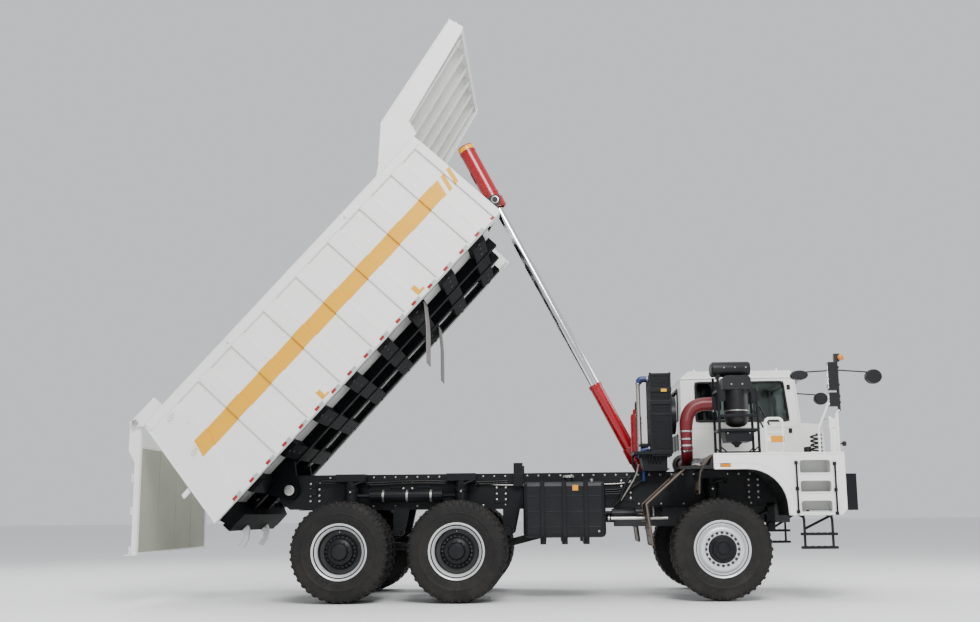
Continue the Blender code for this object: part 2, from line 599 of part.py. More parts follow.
def cab_shell():
    floor = DECK_TOP + GAP
    side_outline = [(CAB_REAR_X, floor), (NOSE_FRONT_X - 0.03, floor), (NOSE_FRONT_X, floor + 0.05),
                    (NOSE_FRONT_X - 0.02, NOSE_TOP), (CAB_FRONT_X + 0.06, NOSE_TOP + 0.02),
                    (CAB_FRONT_X, CAB_TOP - 0.06), (CAB_FRONT_X - 0.06, CAB_TOP), (CAB_REAR_X + 0.12, CAB_TOP),
                    (CAB_REAR_X, CAB_TOP - 0.10)]
    shell = prism(side_outline, CAB_RIGHT_Y, CAB_LEFT_Y)
    t = CAB_WALL
    room = [(CAB_REAR_X + t, floor + FLOOR_THICK), (CAB_FRONT_X, floor + FLOOR_THICK),
            (CAB_FRONT_X - 0.01, NOSE_TOP), (CAB_FRONT_X - t, CAB_TOP - 0.09), (CAB_REAR_X + t, CAB_TOP - 0.09)]
    cuts = [prism(room, CAB_RIGHT_Y + t, CAB_LEFT_Y - t)]
    cuts.append(prism([(CAB_FRONT_X - 0.2, NOSE_TOP + 0.06), (CAB_FRONT_X + 0.2, NOSE_TOP + 0.06),
                       (CAB_FRONT_X + 0.2, CAB_TOP - 0.14), (CAB_FRONT_X - 0.2, CAB_TOP - 0.14)],
                      CAB_RIGHT_Y + 0.12, CAB_LEFT_Y - 0.12))
    cuts.append(prism([(-0.13, WINDOW_Z[0]), (1.24, WINDOW_Z[0]), (1.17, WINDOW_Z[1]), (-0.13, WINDOW_Z[1])],
                      CAB_RIGHT_Y - 0.1, CAB_RIGHT_Y + 0.1))
    cuts.append(box((CAB_REAR_X - 0.1, CAB_REAR_X + 0.1), (0.15, 1.20), (WINDOW_Z[0] + 0.05, WINDOW_Z[1] - 0.05)))
    cuts.append(box(DOOR_X, (CAB_LEFT_Y - 0.1, CAB_LEFT_Y + 0.1), DOOR_Z))
    for cutter in cuts:
        combine(shell, cutter, "DIFFERENCE")
    pieces = [shell]
    for height in HINGE_HEIGHTS:
        z = (height + 0.08 + GAP, height + 0.14)
        pieces.append(rod((DOOR_X[1], DOOR_PIN_Y, z[0]), (DOOR_X[1], DOOR_PIN_Y, z[1]), DOOR_KNUCKLE))
        pieces.append(box((DOOR_X[1] + 0.004, DOOR_X[1] + 0.05), (CAB_LEFT_Y - 0.004, DOOR_PIN_Y + 0.006), z))
    node("cab_shell", "white_paint", truck, pieces)


def panes():
    inset = CAB_WALL / 2
    lean = 0.06 / (CAB_TOP - 0.06 - NOSE_TOP - 0.02)
    low, high = NOSE_TOP + 0.06 + GAP, CAB_TOP - 0.14 - GAP
    foot_x = CAB_FRONT_X + 0.06 - lean * (low - NOSE_TOP) - inset
    head_x = CAB_FRONT_X + 0.06 - lean * (high - NOSE_TOP) - inset
    screen = [(foot_x, low), (foot_x + PANE, low), (head_x + PANE, high), (head_x, high)]
    node("windscreen", "window_glass", truck,
         [prism(screen, CAB_RIGHT_Y + 0.12 + GAP, CAB_LEFT_Y - 0.12 - GAP)])
    pane_y = CAB_RIGHT_Y + inset
    right = [(-0.13 + GAP, WINDOW_Z[0] + GAP), (1.24 - 2 * GAP, WINDOW_Z[0] + GAP),
             (1.17 - GAP, WINDOW_Z[1] - GAP), (-0.13 + GAP, WINDOW_Z[1] - GAP)]
    node("right_window", "window_glass", truck, [prism(right, pane_y - PANE / 2, pane_y + PANE / 2)])
    rear_x = CAB_REAR_X + inset
    node("rear_window", "window_glass", truck,
         [box((rear_x - PANE / 2, rear_x + PANE / 2), (0.15 + GAP, 1.20 - GAP),
              (WINDOW_Z[0] + 0.05 + GAP, WINDOW_Z[1] - 0.05 - GAP))])


def cab_door():
    """Hinged at its front edge. Its frame is the door's hinge line."""
    hinge = empty("door_hinge", truck, (DOOR_X[1], DOOR_PIN_Y, 0))
    face = CAB_LEFT_Y - DOOR_PIN_Y
    x = (DOOR_X[0] - DOOR_X[1] + DOOR_GAP, -DOOR_GAP)
    z = (DOOR_Z[0] + DOOR_GAP, DOOR_Z[1] - DOOR_GAP)
    glass_x, glass_z = (x[0] + 0.09, x[1] - 0.09), (WINDOW_Z[0], z[1] - 0.08)
    panel = box(x, (face - CAB_WALL, face), z)
    hinges = [rod((0, 0, height), (0, 0, height + 0.08), DOOR_KNUCKLE) for height in HINGE_HEIGHTS]
    leaves = [box((-0.05, -0.004), (face - 0.004, 0.006), (height, height + 0.08)) for height in HINGE_HEIGHTS]
    window = box(glass_x, (-0.2, 0.2), glass_z)
    node("cab_door", "white_paint", hinge, [panel, *leaves, *hinges], [window])
    node("door_window", "window_glass", hinge,
         [box((glass_x[0] + GAP, glass_x[1] - GAP), (face - CAB_WALL / 2 - PANE / 2, face - CAB_WALL / 2 + PANE / 2),
              (glass_z[0] + GAP, glass_z[1] - GAP))])


def cab_interior():
    floor = DECK_TOP + GAP + FLOOR_THICK + GAP
    y = 1.02
    pedestal = box((0.20, 0.55), (y - 0.18, y + 0.18), (floor, floor + 0.30))
    cushion = box((0.12, 0.64), (y - 0.25, y + 0.25), (floor + 0.28, floor + 0.42))
    back = prism([(0.12, floor + 0.36), (0.24, floor + 0.36), (0.14, floor + 1.02), (0.02, floor + 1.02)], y - 0.24, y + 0.24)
    node("driver_seat", "seat_cloth", truck, [pedestal, cushion, back])
    front = CAB_FRONT_X - 0.005
    board = [(front - 0.30, floor), (front - 0.006, floor), (front - 0.011, floor + 0.44), (front - 0.20, floor + 0.46),
             (front - 0.34, floor + 0.38)]
    dash = prism(board, CAB_RIGHT_Y + CAB_WALL + GAP, CAB_LEFT_Y - CAB_WALL - GAP)
    column = rod((front - 0.25, y, floor + 0.36), (front - 0.47, y, floor + 0.59), 0.03, 12)
    tilt = Matrix.Translation((front - 0.47, y, floor + 0.59)) @ Matrix.Rotation(math.radians(-44), 4, "Y")
    ring = turned([(-0.012, 0.205), (0.012, 0.205), (0.012, 0.235), (-0.012, 0.235)], axis="Z", sides=24)
    spokes = [box((-0.215, 0.215), (-0.020, 0.020), (-0.009, 0.007)), box((-0.017, 0.022), (-0.219, 0.218), (-0.007, 0.009))]
    for piece in (ring, *spokes):
        piece.data.transform(tilt)
    node("dashboard", "black_plastic", truck, [dash, column, *spokes, ring])


cab_shell()
panes()
cab_door()
cab_interior()

# ---------------------------------------------------------------- deck furniture
POST_X, POST_Y = 1.620, 1.500
MIRROR_SIZE = (0.125, 0.05, 0.375)


OVAL_MIRROR = (0.116, 0.064)
FRONT_MIRROR = (0.108, 0.097)


def oval_mirror(centre, half, y):
    """An upright oval head at (x, z) with its half width and half height."""
    turns = [2 * math.pi * i / 16 for i in range(16)]
    outline = [(centre[0] + half[0] * math.cos(a), centre[1] + half[1] * math.sin(a)) for a in turns]
    return prism(outline, y - 0.055, y + 0.055)


def mirror_heads(y, side):
    """The two mirrors and the two look-down mirrors about a post."""
    back = POST_X - 0.10
    outward = sorted((y - side * 0.02, y + side * 0.08))
    return [
        box((back, POST_X + 0.02), outward, (2.80, 3.175)),
        box((back, POST_X + 0.02), outward, (2.58, 2.76)),
        rod((POST_X + 0.04, y, 2.56), (POST_X + 0.04, y, 3.20), 0.016, 8),
        rod((1.14, y, 3.05), (POST_X + 0.04, y, 3.075), 0.010, 6),
        oval_mirror((1.14, 3.01), OVAL_MIRROR, y),
        rod((POST_X + 0.04, y, 3.075), (2.10, y, 3.04), 0.010, 6),
        oval_mirror((2.14, 2.978), FRONT_MIRROR, y),
    ]


def right_mirror_rail():
    """Corner post, front rail and mirrors, one welded frame on the right deck."""
    base = DECK_TOP + GAP
    y = -POST_Y
    post = [(POST_X, y, base), (POST_X, y, 2.49), (POST_X + 0.04, y, 2.53), (POST_X + 0.04, y, 3.12)]
    rail = [(1.53, y, base), (1.53, y, 2.40), (1.53, y + 0.03, 2.43), (1.53, -0.99, 2.43), (1.53, -0.96, 2.40),
            (1.53, -0.96, base)]
    link = rod((1.50, y, 2.30), (POST_X + 0.01, y, 2.30), 0.016, 6)
    lamp_box = box((POST_X, POST_X + 0.075), (y - 0.03, y + 0.03), (3.19, 3.30))
    node("right_mirror_rail", "black_paint", truck,
         [pipe(post, 0.022, 8), pipe(rail, 0.018, 8), link, *mirror_heads(y, RIGHT), lamp_box])


def left_mirror_arm():
    """The same mirrors on a bracket ahead of the cab's door."""
    face = CAB_LEFT_Y + GAP
    y = CAB_LEFT_Y + 0.055
    plate = box((1.215, 1.300), (face, face + 0.016), (2.60, 3.10))
    upper = pipe([(1.26, face + 0.0105, 3.075), (1.30, y, 3.075), (POST_X + 0.04, y, 3.075)], 0.014, 8)
    lower = pipe([(1.26, face + 0.0105, 2.66), (1.30, y, 2.66), (POST_X + 0.04, y, 2.66)], 0.014, 8)
    heads = mirror_heads(y, LEFT)
    dropped = heads[3:5]
    for spare in dropped:
        bpy.data.objects.remove(spare, do_unlink=True)
    node("left_mirror_arm", "black_paint", truck, [plate, upper, lower, *heads[:3], *heads[5:]])


right_mirror_rail()
left_mirror_arm()


def side_hoop():
    """The white hoop on the right edge of the deck."""
    base = DECK_TOP + GAP
    y = -1.45
    path = [(0.66, y, base), (0.66, y, 2.38), (0.70, y, 2.43), (0.85, y, 2.43), (0.89, y, 2.38), (0.89, y, base)]
    plate = box((0.66, 0.90), (y - 0.012, y + 0.012), (2.11, 2.19))
    node("right_hoop_rail", "white_paint", truck, [pipe(path, 0.018, 8), plate])


side_hoop()


def air_cleaner():
    """Two-stage air cleaner in its stand on the right deck."""
    y = -1.18
    floor = DECK_TOP + GAP
    body = box((0.03, 0.59), (y - 0.24, y + 0.24), (2.18, 2.855))
    lid = prism([(0.13, 2.84), (0.13, 3.00), (0.22, 3.055), (0.45, 3.055), (0.55, 3.00), (0.55, 2.84)], y - 0.22, y + 0.22)
    head = box((-0.02, 0.515), (y - 0.16, y + 0.16), (3.03, 3.235))
    stand = [box((x, x + 0.04), (z, z + 0.04), (floor, 2.60)) for x in (-0.005, 0.585) for z in (y - 0.25, y + 0.21)]
    foot = box((-0.005, 0.625), (y - 0.25, y + 0.25), (floor, floor + 0.012))
    cone = prism([(0.18, 2.19), (0.24, 2.07), (0.38, 2.07), (0.43, 2.19)], y - 0.12, y + 0.12)
    brace = rod((0.60, y, 2.44), (0.77, y, floor + 0.006), 0.014, 8)
    shoe = box((0.58, 0.80), (y - 0.03, y + 0.03), (floor, floor + 0.012))
    node("air_cleaner", "black_plastic", truck, [body, lid, head, *stand, foot, cone, brace, shoe])
    hose_path = [(0.03 - GAP, y, 2.66), (-0.10, y, 2.66), (-0.24, y, 2.63), (-0.34, y, 2.55), (-0.38, y, 2.43),
                 (-0.385, y, 2.12), (-0.38, y + 0.03, 2.00), (-0.37, y + 0.12, 1.92), (-0.36, -0.90, 1.897),
                 (-0.358, -0.78, 1.87),
                 (-0.355, -0.60, 1.855), (-0.355, TURBO_Y - GAP, 1.855)]
    node("intake_hose", "red_silicone", truck, [pipe(hose_path, 0.088, 12)])


air_cleaner()

RADIATOR_X = (-0.840, -0.560)
RADIATOR_Y = (-0.900, -0.340)


def radiator():
    """The cooling pack behind the cab on its stand over the right rail, with its outlet pipe."""
    core = box(RADIATOR_X, RADIATOR_Y, (1.96, 3.14))
    stand = prism([(-1.00, 1.99), (-0.62, 1.99), (-0.62, RAIL_TOP + GAP), (-0.95, RAIL_TOP + GAP)], -0.80, -0.41)
    plate = box((-1.10, -0.57), (-0.92, -0.32), (1.985, 2.03))
    riser = pipe([(-1.00, -0.70, 2.00), (-1.00, -0.70, 3.00), (-0.94, -0.70, 3.06), (-0.83, -0.70, 3.06)], 0.028, 10)
    low_hose = pipe([(-1.011, -0.70, 2.12), (-0.83, -0.70, 2.12)], 0.035, 8)
    node("radiator", "black_paint", truck, [core, plate, stand, riser, low_hose])


def hydraulic_tank():
    base = 2.03 + GAP
    tank = rod((-1.02, -0.41, base), (-1.02, -0.41, base + 0.55), 0.075, 18)
    neck = rod((-1.02, -0.41, base + 0.54), (-1.02, -0.41, base + 0.63), 0.04, 12)
    node("hydraulic_tank", "hoist_red", truck, [tank, neck])


radiator()
hydraulic_tank()


def mudguard(side):
    """The plate behind a front wheel and the rubber apron that hangs from the deck's rear edge."""
    y = sorted((side * 0.87, side * 1.56))
    upper, knee, lower = (-0.46, 1.768), (-1.00, 1.29), (-0.93, 0.74)
    t = 0.02
    plate = [upper, knee, lower, (lower[0] + t, lower[1]), (knee[0] + t * 1.4, knee[1]), (upper[0], upper[1] - t * 1.4)]
    apron = [(DECK_REAR_X - 0.46, 1.752), (DECK_REAR_X - GAP, 1.752), (DECK_REAR_X - GAP, 1.90), (DECK_REAR_X - 0.03, 1.90),
             (DECK_REAR_X - 0.06, 1.80), (DECK_REAR_X - 0.46, 1.79)]
    skirt = [(-0.20, 1.76), (-0.25, 1.70), (-0.27, 1.42), (-0.295, 1.42), (-0.28, 1.72), (-0.24, 1.785)]
    stay = box((-0.60, -0.55), sorted((side * (RAIL_OUTER_Y + GAP), side * 0.90)), (1.64, 1.69))
    node(f"{SIDE_NAME[side]}_mudguard", "black_plastic", truck,
         [prism(plate, *y), prism(apron, *sorted((side * 0.86, side * 1.60))),
          prism(skirt, *sorted((side * 1.20, side * 1.59))), stay])


for side in (LEFT, RIGHT):
    mudguard(side)


# ---------------------------------------------------------------- bed
def rear_edge_u(v):
    """Where the sides' leaning rear edge is at a height in the bed."""
    return BED_REAR_U + (v - BED_SIDE_LOW) * math.tan(BED_REAR_LEAN)


POST_WIDTH = 0.37
POST_FRONT_U = -0.024
RIB_PROUD = 0.035
SIDE_SKIN = BED_HALF_WIDTH - RIB_PROUD
INNER_HALF = BED_HALF_WIDTH - BED_WALL
RIB_STARTS = [FIRST_RIB_U + RIB_PITCH * i for i in range(-1, 7)]
FLOOR_UNDER = 0.373
ARM_TOP = TAILGATE_PIN_V + 0.064
FRONT_WALL_U = 4.760
CORNER_Y = 1.450


def dump_bed():
    pieces = []
    top_rear = rear_edge_u(BED_SIDE_TOP)
    for side in (LEFT, RIGHT):
        wall = [(rear_edge_u(BED_SIDE_LOW), BED_SIDE_LOW), (BED_FRONT_U - 0.02, BED_SIDE_LOW),
                (BED_FRONT_U, BED_SIDE_LOW + 0.40), (BED_FRONT_U, BED_SIDE_TOP), (top_rear, BED_SIDE_TOP)]
        pieces.append(prism(wall, *sorted((side * INNER_HALF, side * SIDE_SKIN))))
        back, low = -0.004, BED_SIDE_LOW - 0.004
        post = [(rear_edge_u(low) + back, low), (rear_edge_u(low) + POST_WIDTH, low),
                (POST_FRONT_U, BED_SIDE_LOW + 0.9), (POST_FRONT_U, BED_SIDE_TOP - 0.02), (rear_edge_u(BED_SIDE_TOP - 0.02) + back, BED_SIDE_TOP - 0.02)]
        outer = sorted((side * (SIDE_SKIN - 0.02), side * BED_HALF_WIDTH))
        pieces.append(prism(post, *outer))
        for start in RIB_STARTS[1:]:
            pieces.append(box((start, start + RIB_WIDTH), outer, (BED_SIDE_LOW + 0.01, BED_SIDE_TOP - 0.10)))
        pieces.append(box((BED_FRONT_U - 0.12, BED_FRONT_U + 0.004), outer, (BED_SIDE_LOW + 0.01, BED_SIDE_TOP - 0.10)))
        rail = box((top_rear + 0.02, BED_FRONT_U - 0.004), sorted((side * (INNER_HALF - 0.03), side * (BED_HALF_WIDTH + 0.012))),
                   (BED_SIDE_TOP - 0.12, BED_SIDE_TOP + 0.015))
        pieces.append(rail)
        arm_y = sorted((side * (TAILGATE_HALF_WIDTH + 0.010), side * (TAILGATE_HALF_WIDTH + 0.055)))
        arm = [(top_rear + 0.03, BED_SIDE_TOP - 0.05), (top_rear + 0.36, BED_SIDE_TOP - 0.05), (top_rear + 0.36, ARM_TOP),
               *arc((TAILGATE_PIN_U, TAILGATE_PIN_V), 0.064, 90, 270, 6)]
        pieces.append(prism(arm, *arm_y))
        pieces.append(pin((TAILGATE_PIN_U, side * (TAILGATE_HALF_WIDTH - 0.09), TAILGATE_PIN_V),
                          (TAILGATE_PIN_U, side * (TAILGATE_HALF_WIDTH + 0.075), TAILGATE_PIN_V), TAILGATE_PIN_RADIUS))
    floor = [(rear_edge_u(FLOOR_UNDER) + 0.01, FLOOR_UNDER), (FRONT_WALL_U - 0.01, FLOOR_UNDER),
             (FRONT_WALL_U - 0.01, BED_FLOOR_TOP), (rear_edge_u(BED_FLOOR_TOP) + 0.01, BED_FLOOR_TOP)]
    pieces.append(prism(floor, -INNER_HALF - 0.02, INNER_HALF + 0.02))
    low = FLOOR_UNDER + 0.015
    front = [(FRONT_WALL_U - 0.06, low), (FRONT_WALL_U, low), (FRONT_WALL_U, BED_SIDE_TOP + 0.20),
             (FRONT_WALL_U - 0.06, BED_SIDE_TOP + 0.16)]
    pieces.append(prism(front, -INNER_HALF - 0.03, INNER_HALF + 0.03))
    for side in (LEFT, RIGHT):
        corner = [(FRONT_WALL_U - 0.03, BED_SIDE_LOW + 0.02), (BED_FRONT_U - 0.03, BED_SIDE_LOW + 0.02),
                  (BED_FRONT_U - 0.01, BED_SIDE_LOW + 0.42), (BED_FRONT_U - 0.01, BED_SIDE_TOP - 0.01), (FRONT_WALL_U - 0.03, BED_SIDE_TOP - 0.01)]
        pieces.append(prism(corner, *sorted((side * CORNER_Y, side * (INNER_HALF + 0.02)))))
    node("dump_bed", "white_paint", bed_hinge, pieces)


CANOPY_PLATE = 0.035


def canopy():
    """The shield ahead of the load: a plate with six stiffeners under it and a plate at each side."""
    half = BED_HALF_WIDTH + 0.012
    foot = BED_SIDE_TOP + 0.015 + GAP
    cheek = [(4.16, foot), (4.335, 2.032), (4.794, 2.405), (6.524, 2.709), (6.577, 2.738), (6.622, 2.497), (6.573, 2.472),
             (5.062, 2.132), (5.006, foot)]
    pieces = []
    for side in (LEFT, RIGHT):
        pieces.append(prism(cheek, *sorted((side * half, side * (half - 0.04)))))
    start = FRONT_WALL_U + 0.001
    line = lambda u: 2.405 + (u - 4.794) * (2.709 - 2.405) / (6.524 - 4.794)
    plate = [(start, line(start)), (6.524, line(6.524)), (6.577, 2.738), (6.622, 2.497), (6.560, 2.485), (6.53, 2.66),
             (6.50, line(6.50) - CANOPY_PLATE), (start, line(start) - CANOPY_PLATE)]
    pieces.append(prism(plate, -half + 0.01, half - 0.01))
    web = [(start, line(start) - 0.01), (6.56, line(6.524) - 0.01), (6.58, 2.50), (6.50, 2.485), (start, 2.125)]
    for i in range(6):
        y = -1.45 + 2.9 * i / 5
        pieces.append(prism(web, y - 0.02, y + 0.02))
    back = [(start, BED_SIDE_TOP + 0.02), (start + 0.03, BED_SIDE_TOP + 0.02), (start + 0.03, line(start) - 0.01), (start, line(start) - 0.01)]
    pieces.append(prism(back, -half + 0.01, half - 0.01))
    node("canopy", "white_paint", bed_hinge, pieces)


BEAM_Y = (0.360, RAIL_OUTER_Y)
UNDER_TOP = FLOOR_UNDER - GAP
FLAP_U = 3.300
FLAP_V = BED_SIDE_LOW + 0.009
FLAP_BEAD = 0.012
FLAP_Y = (0.860, 1.380)
HOOK_Y = 0.590
HOOK_PIN = (-0.835, 0.110)


def latch_hook(side):
    """A tailgate latch under the bed's tail: plumb while the bed is up, reaching back once it is down."""
    outline = [(-0.045, 0.045), (0.050, 0.045), (0.075, -0.02), (0.070, -0.10), (0.060, -0.17), (0.0, -0.27),
               (-0.075, -0.245), (-0.045, -0.20), (-0.005, -0.16), (0.0, -0.08), (-0.05, -0.03)]
    cos, sin = math.cos(BED_ANGLE), math.sin(BED_ANGLE)
    plumb = [(HOOK_PIN[0] + x * cos + z * sin, HOOK_PIN[1] - x * sin + z * cos) for x, z in outline]
    return prism(plumb, *sorted((side * (HOOK_Y - 0.035), side * (HOOK_Y + 0.035))))


def bed_underframe():
    """Main beams, cross ribs, sills, hinge ears and the trunnion bracket's backing under the floor."""
    pieces = []
    front = FRONT_WALL_U - 0.03 - GAP
    sill_out = INNER_HALF - GAP
    for side in (LEFT, RIGHT):
        pieces.append(box((-0.62, front), sorted((side * BEAM_Y[0], side * BEAM_Y[1])), (BED_BEAM_LOW, UNDER_TOP)))
        pieces.append(box((-0.70, front), sorted((side * (sill_out - 0.14), side * sill_out)), (BED_SIDE_LOW + 0.02, UNDER_TOP)))
    for start in RIB_STARTS:
        rib = [(-sill_out, BED_SIDE_LOW + 0.03), (-sill_out + 0.25, BED_SIDE_LOW - 0.02), (sill_out - 0.25, BED_SIDE_LOW - 0.02),
               (sill_out, BED_SIDE_LOW + 0.03), (sill_out, UNDER_TOP), (-sill_out, UNDER_TOP)]
        pieces.append(prism(rib, start, start + RIB_WIDTH, along="X"))
    pieces += [latch_hook(LEFT), latch_hook(RIGHT)]
    tail = [(-1.35, 0.105), (1.35, 0.105), (sill_out, 0.25), (sill_out, UNDER_TOP), (-sill_out, UNDER_TOP), (-sill_out, 0.25)]
    pieces.append(prism(tail, -0.80, -0.56, along="X"))
    pieces.append(box((-0.873, -0.79), (-1.33, 1.33), (0.110, 0.235)))
    for side in (LEFT, RIGHT):
        ear_y = sorted((side * EAR_IN, side * EAR_OUT))
        ear = [(-0.35, UNDER_TOP - 0.01), *arc((0, 0), HINGE_BOSS_RADIUS, 190, 350, 8), (0.45, UNDER_TOP - 0.01)]
        pieces.append(prism(ear, *ear_y))
        hanger = sorted((side * (FLAP_Y[0] + 0.02), side * (FLAP_Y[1] - 0.02)))
        pieces.append(box((FLAP_U - 0.06, FLAP_U + 0.03), hanger, (FLAP_V + FLAP_BEAD + GAP, UNDER_TOP)))
        lug = sorted((side * (BEAM_Y[1] - 0.05), side * EAR_OUT))
        pieces.append(box((-0.35, 0.45), lug, (BED_SIDE_LOW + 0.03, UNDER_TOP)))
    node("bed_underframe", "black_paint", bed_hinge, pieces, [bore((0, -1, 0), (0, 1, 0), HINGE_PIN_RADIUS)])


TRUNNION_HALF = 0.165


def trunnion_bracket():
    """Two cheeks on the front wall whose pins face the hoist's bosses."""
    pieces = [box((FRONT_WALL_U + GAP, FRONT_WALL_U + 0.05), (-0.34, 0.34), (TRUNNION_V - 0.22, TRUNNION_V + 0.22))]
    for side in (LEFT, RIGHT):
        cheek = [(FRONT_WALL_U + 0.02, TRUNNION_V - 0.20), (TRUNNION_U - 0.02, TRUNNION_V - 0.085),
                 *arc((TRUNNION_U, TRUNNION_V), 0.085, -80, 80, 8), (FRONT_WALL_U + 0.02, TRUNNION_V + 0.20)]
        pieces.append(prism(cheek, *sorted((side * 0.20, side * 0.26))))
        pieces.append(rod((TRUNNION_U, side * (TRUNNION_HALF + GAP), TRUNNION_V), (TRUNNION_U, side * 0.28, TRUNNION_V), 0.045, 16))
    node("trunnion_bracket", "black_paint", bed_hinge, pieces)


def bed_flap(side):
    """A rubber flap that hangs by its beaded top edge from a bar under the bed."""
    frame = empty(f"{SIDE_NAME[side]}_flap_frame", bed_hinge, (FLAP_U, 0, FLAP_V), BED_ANGLE)
    bead = arc((0, 0), FLAP_BEAD, -30, 210, 8)
    outline = [*bead, (-0.002, -0.020), (0.018, -0.18), (0.033, -0.36), (0.038, -0.86), (0.050, -0.86), (0.045, -0.36),
               (0.030, -0.18), (0.010, -0.020)]
    y = sorted((side * FLAP_Y[0], side * FLAP_Y[1]))
    node(f"{SIDE_NAME[side]}_bed_flap", "grey_rubber", frame, [prism(outline, *y)])


dump_bed()
canopy()
bed_underframe()
trunnion_bracket()
for side in (LEFT, RIGHT):
    bed_flap(side)


# ---------------------------------------------------------------- tailgate
def tailgate():
    """Hangs plumb from its pins: two channels, a top beam and the plate between them."""
    half = TAILGATE_HALF_WIDTH
    face = TAILGATE_FACE
    pieces = []
    channel = [(-0.10, 0.0), (-0.10, -0.38), (face - 0.065, -0.55), (face - 0.065, -TAILGATE_HEIGHT), (face, -TAILGATE_HEIGHT),
               (face, -0.02), *arc((0, 0), 0.062, 20, 160, 6), (-0.10, 0.03)]
    for side in (LEFT, RIGHT):
        pieces.append(prism(channel, *sorted((side * half, side * (half - 0.08)))))
    pieces.append(box((face - 0.11, face - 0.005), (-half + 0.02, half - 0.02), (-0.32, -0.20)))
    pieces.append(box((face - 0.060, face - 0.012), (-half + 0.02, half - 0.02), (-TAILGATE_HEIGHT + 0.01, -0.22)))
    for z in (-0.75, -1.20, -TAILGATE_HEIGHT + 0.06):
        pieces.append(box((face - 0.11, face - 0.03), (-half + 0.02, half - 0.02), (z - 0.05, z + 0.05)))
    node("tailgate", "white_paint", tailgate_hinge, pieces, [bore((0, -2, 0), (0, 2, 0), TAILGATE_PIN_RADIUS)])


tailgate()

# ---------------------------------------------------------------- hoist
BASE_RADII = (0.095, 0.0870)
STAGE_RADII = ((0.0850, 0.0780), (0.0760, 0.0690), (0.0670, 0.0600))
INNER_ROD = 0.0580
COVER_RADII = (0.125, 0.110)
STROKE = (HOIST_OPEN - HOIST_CLOSED) / 4
BASE_LENGTH = 1.757
COVER_ABOVE = 1.050
COVER_BELOW = 0.085


def tube(low, high, radii, sides=24):
    outer, inner = radii
    return turned([(low, inner), (low, outer), (high, outer), (high, inner)], axis="Z", sides=sides)


def hoist():
    """A four-stroke telescopic ram with a turning base, three hollow stages and a domed cover."""
    eye = rod((0, -0.13, 0), (0, 0.13, 0), 0.085, 20)
    bottom = rod((0, 0, 0.05), (0, 0, 0.20), (BASE_RADII[0] + BASE_RADII[1]) / 2, 24)
    outer, inner = BASE_RADII
    ring = BASE_LENGTH - 0.05
    barrel = [(0.15, inner), (0.15, outer), (0.55, outer), (0.55, 0.108), (0.60, 0.108), (0.60, outer), (ring, outer),
              (ring, 0.101), (BASE_LENGTH, 0.101), (BASE_LENGTH, STAGE_RADII[0][0] + GAP), (ring, STAGE_RADII[0][0] + GAP),
              (ring, inner)]
    node("hoist_base", "hoist_red", hoist_pivot, [turned(barrel, axis="Z", sides=24), bottom, eye],
         [bore((0, -0.2, 0), (0, 0.2, 0), HOIST_PIN_RADIUS)])
    foot = 0.215
    inside = [outer for outer, inner in STAGE_RADII[1:]] + [INNER_ROD]
    for number, (outer, inner) in enumerate(STAGE_RADII, 1):
        low = foot + 0.008 * number
        high = BASE_LENGTH + 0.008 * number
        gland, ring = inside[number - 1] + GAP, high - 0.05
        section = [(low, inner), (low, outer), (high, outer), (high, gland), (ring, gland), (ring, inner)]
        stage = node(f"hoist_stage_{number}", "chrome", hoist_pivot, [turned(section, axis="Z", sides=24)])
        stage.location.z = STROKE * number
    trunnion = HOIST_CLOSED
    shell = tube(trunnion - COVER_BELOW, trunnion + COVER_ABOVE - 0.012, COVER_RADII)
    cap = rod((0, 0, trunnion + COVER_ABOVE - 0.030), (0, 0, trunnion + COVER_ABOVE), COVER_RADII[0] - 0.01, 24)
    core = rod((0, 0, foot + 0.06), (0, 0, trunnion + COVER_ABOVE - 0.02), INNER_ROD, 24)
    band = tube(trunnion - 0.075, trunnion + 0.075, (0.145, 0.115))
    bosses = []
    for side in (LEFT, RIGHT):
        bosses.append(rod((0, side * 0.118, trunnion), (0, side * TRUNNION_HALF, trunnion), 0.055, 16))
    cover = node("hoist_cover", "hoist_red", hoist_pivot, [shell, band, *bosses, cap, core])
    cover.location.z = 4 * STROKE


hoist()


# ---------------------------------------------------------------- origin under the middle of the whole truck
def centre_on_ground():
    """Moves the truck's frame so that its origin lies under the middle of its box."""
    bpy.context.view_layer.update()
    xs = []
    for obj in bpy.data.objects:
        if obj.type == "MESH":
            xs.extend((obj.matrix_world @ v.co).x for v in obj.data.vertices)
    truck.location.x = -(min(xs) + max(xs)) / 2


centre_on_ground()
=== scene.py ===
# %% [markdown]
# # A mining dump truck with its bed raised
# This lesson dresses a packed mechanical model. The plain solids give every size and every moving
# body. We give them paint, rubber, chrome and glass, and build the pieces that need more shape than
# a plain solid holds. Each finished piece rides on the body that carries it.

# %% Load the frame and read its main sizes
import json
import math

import bmesh
import bpy
from mathutils import Matrix, Vector


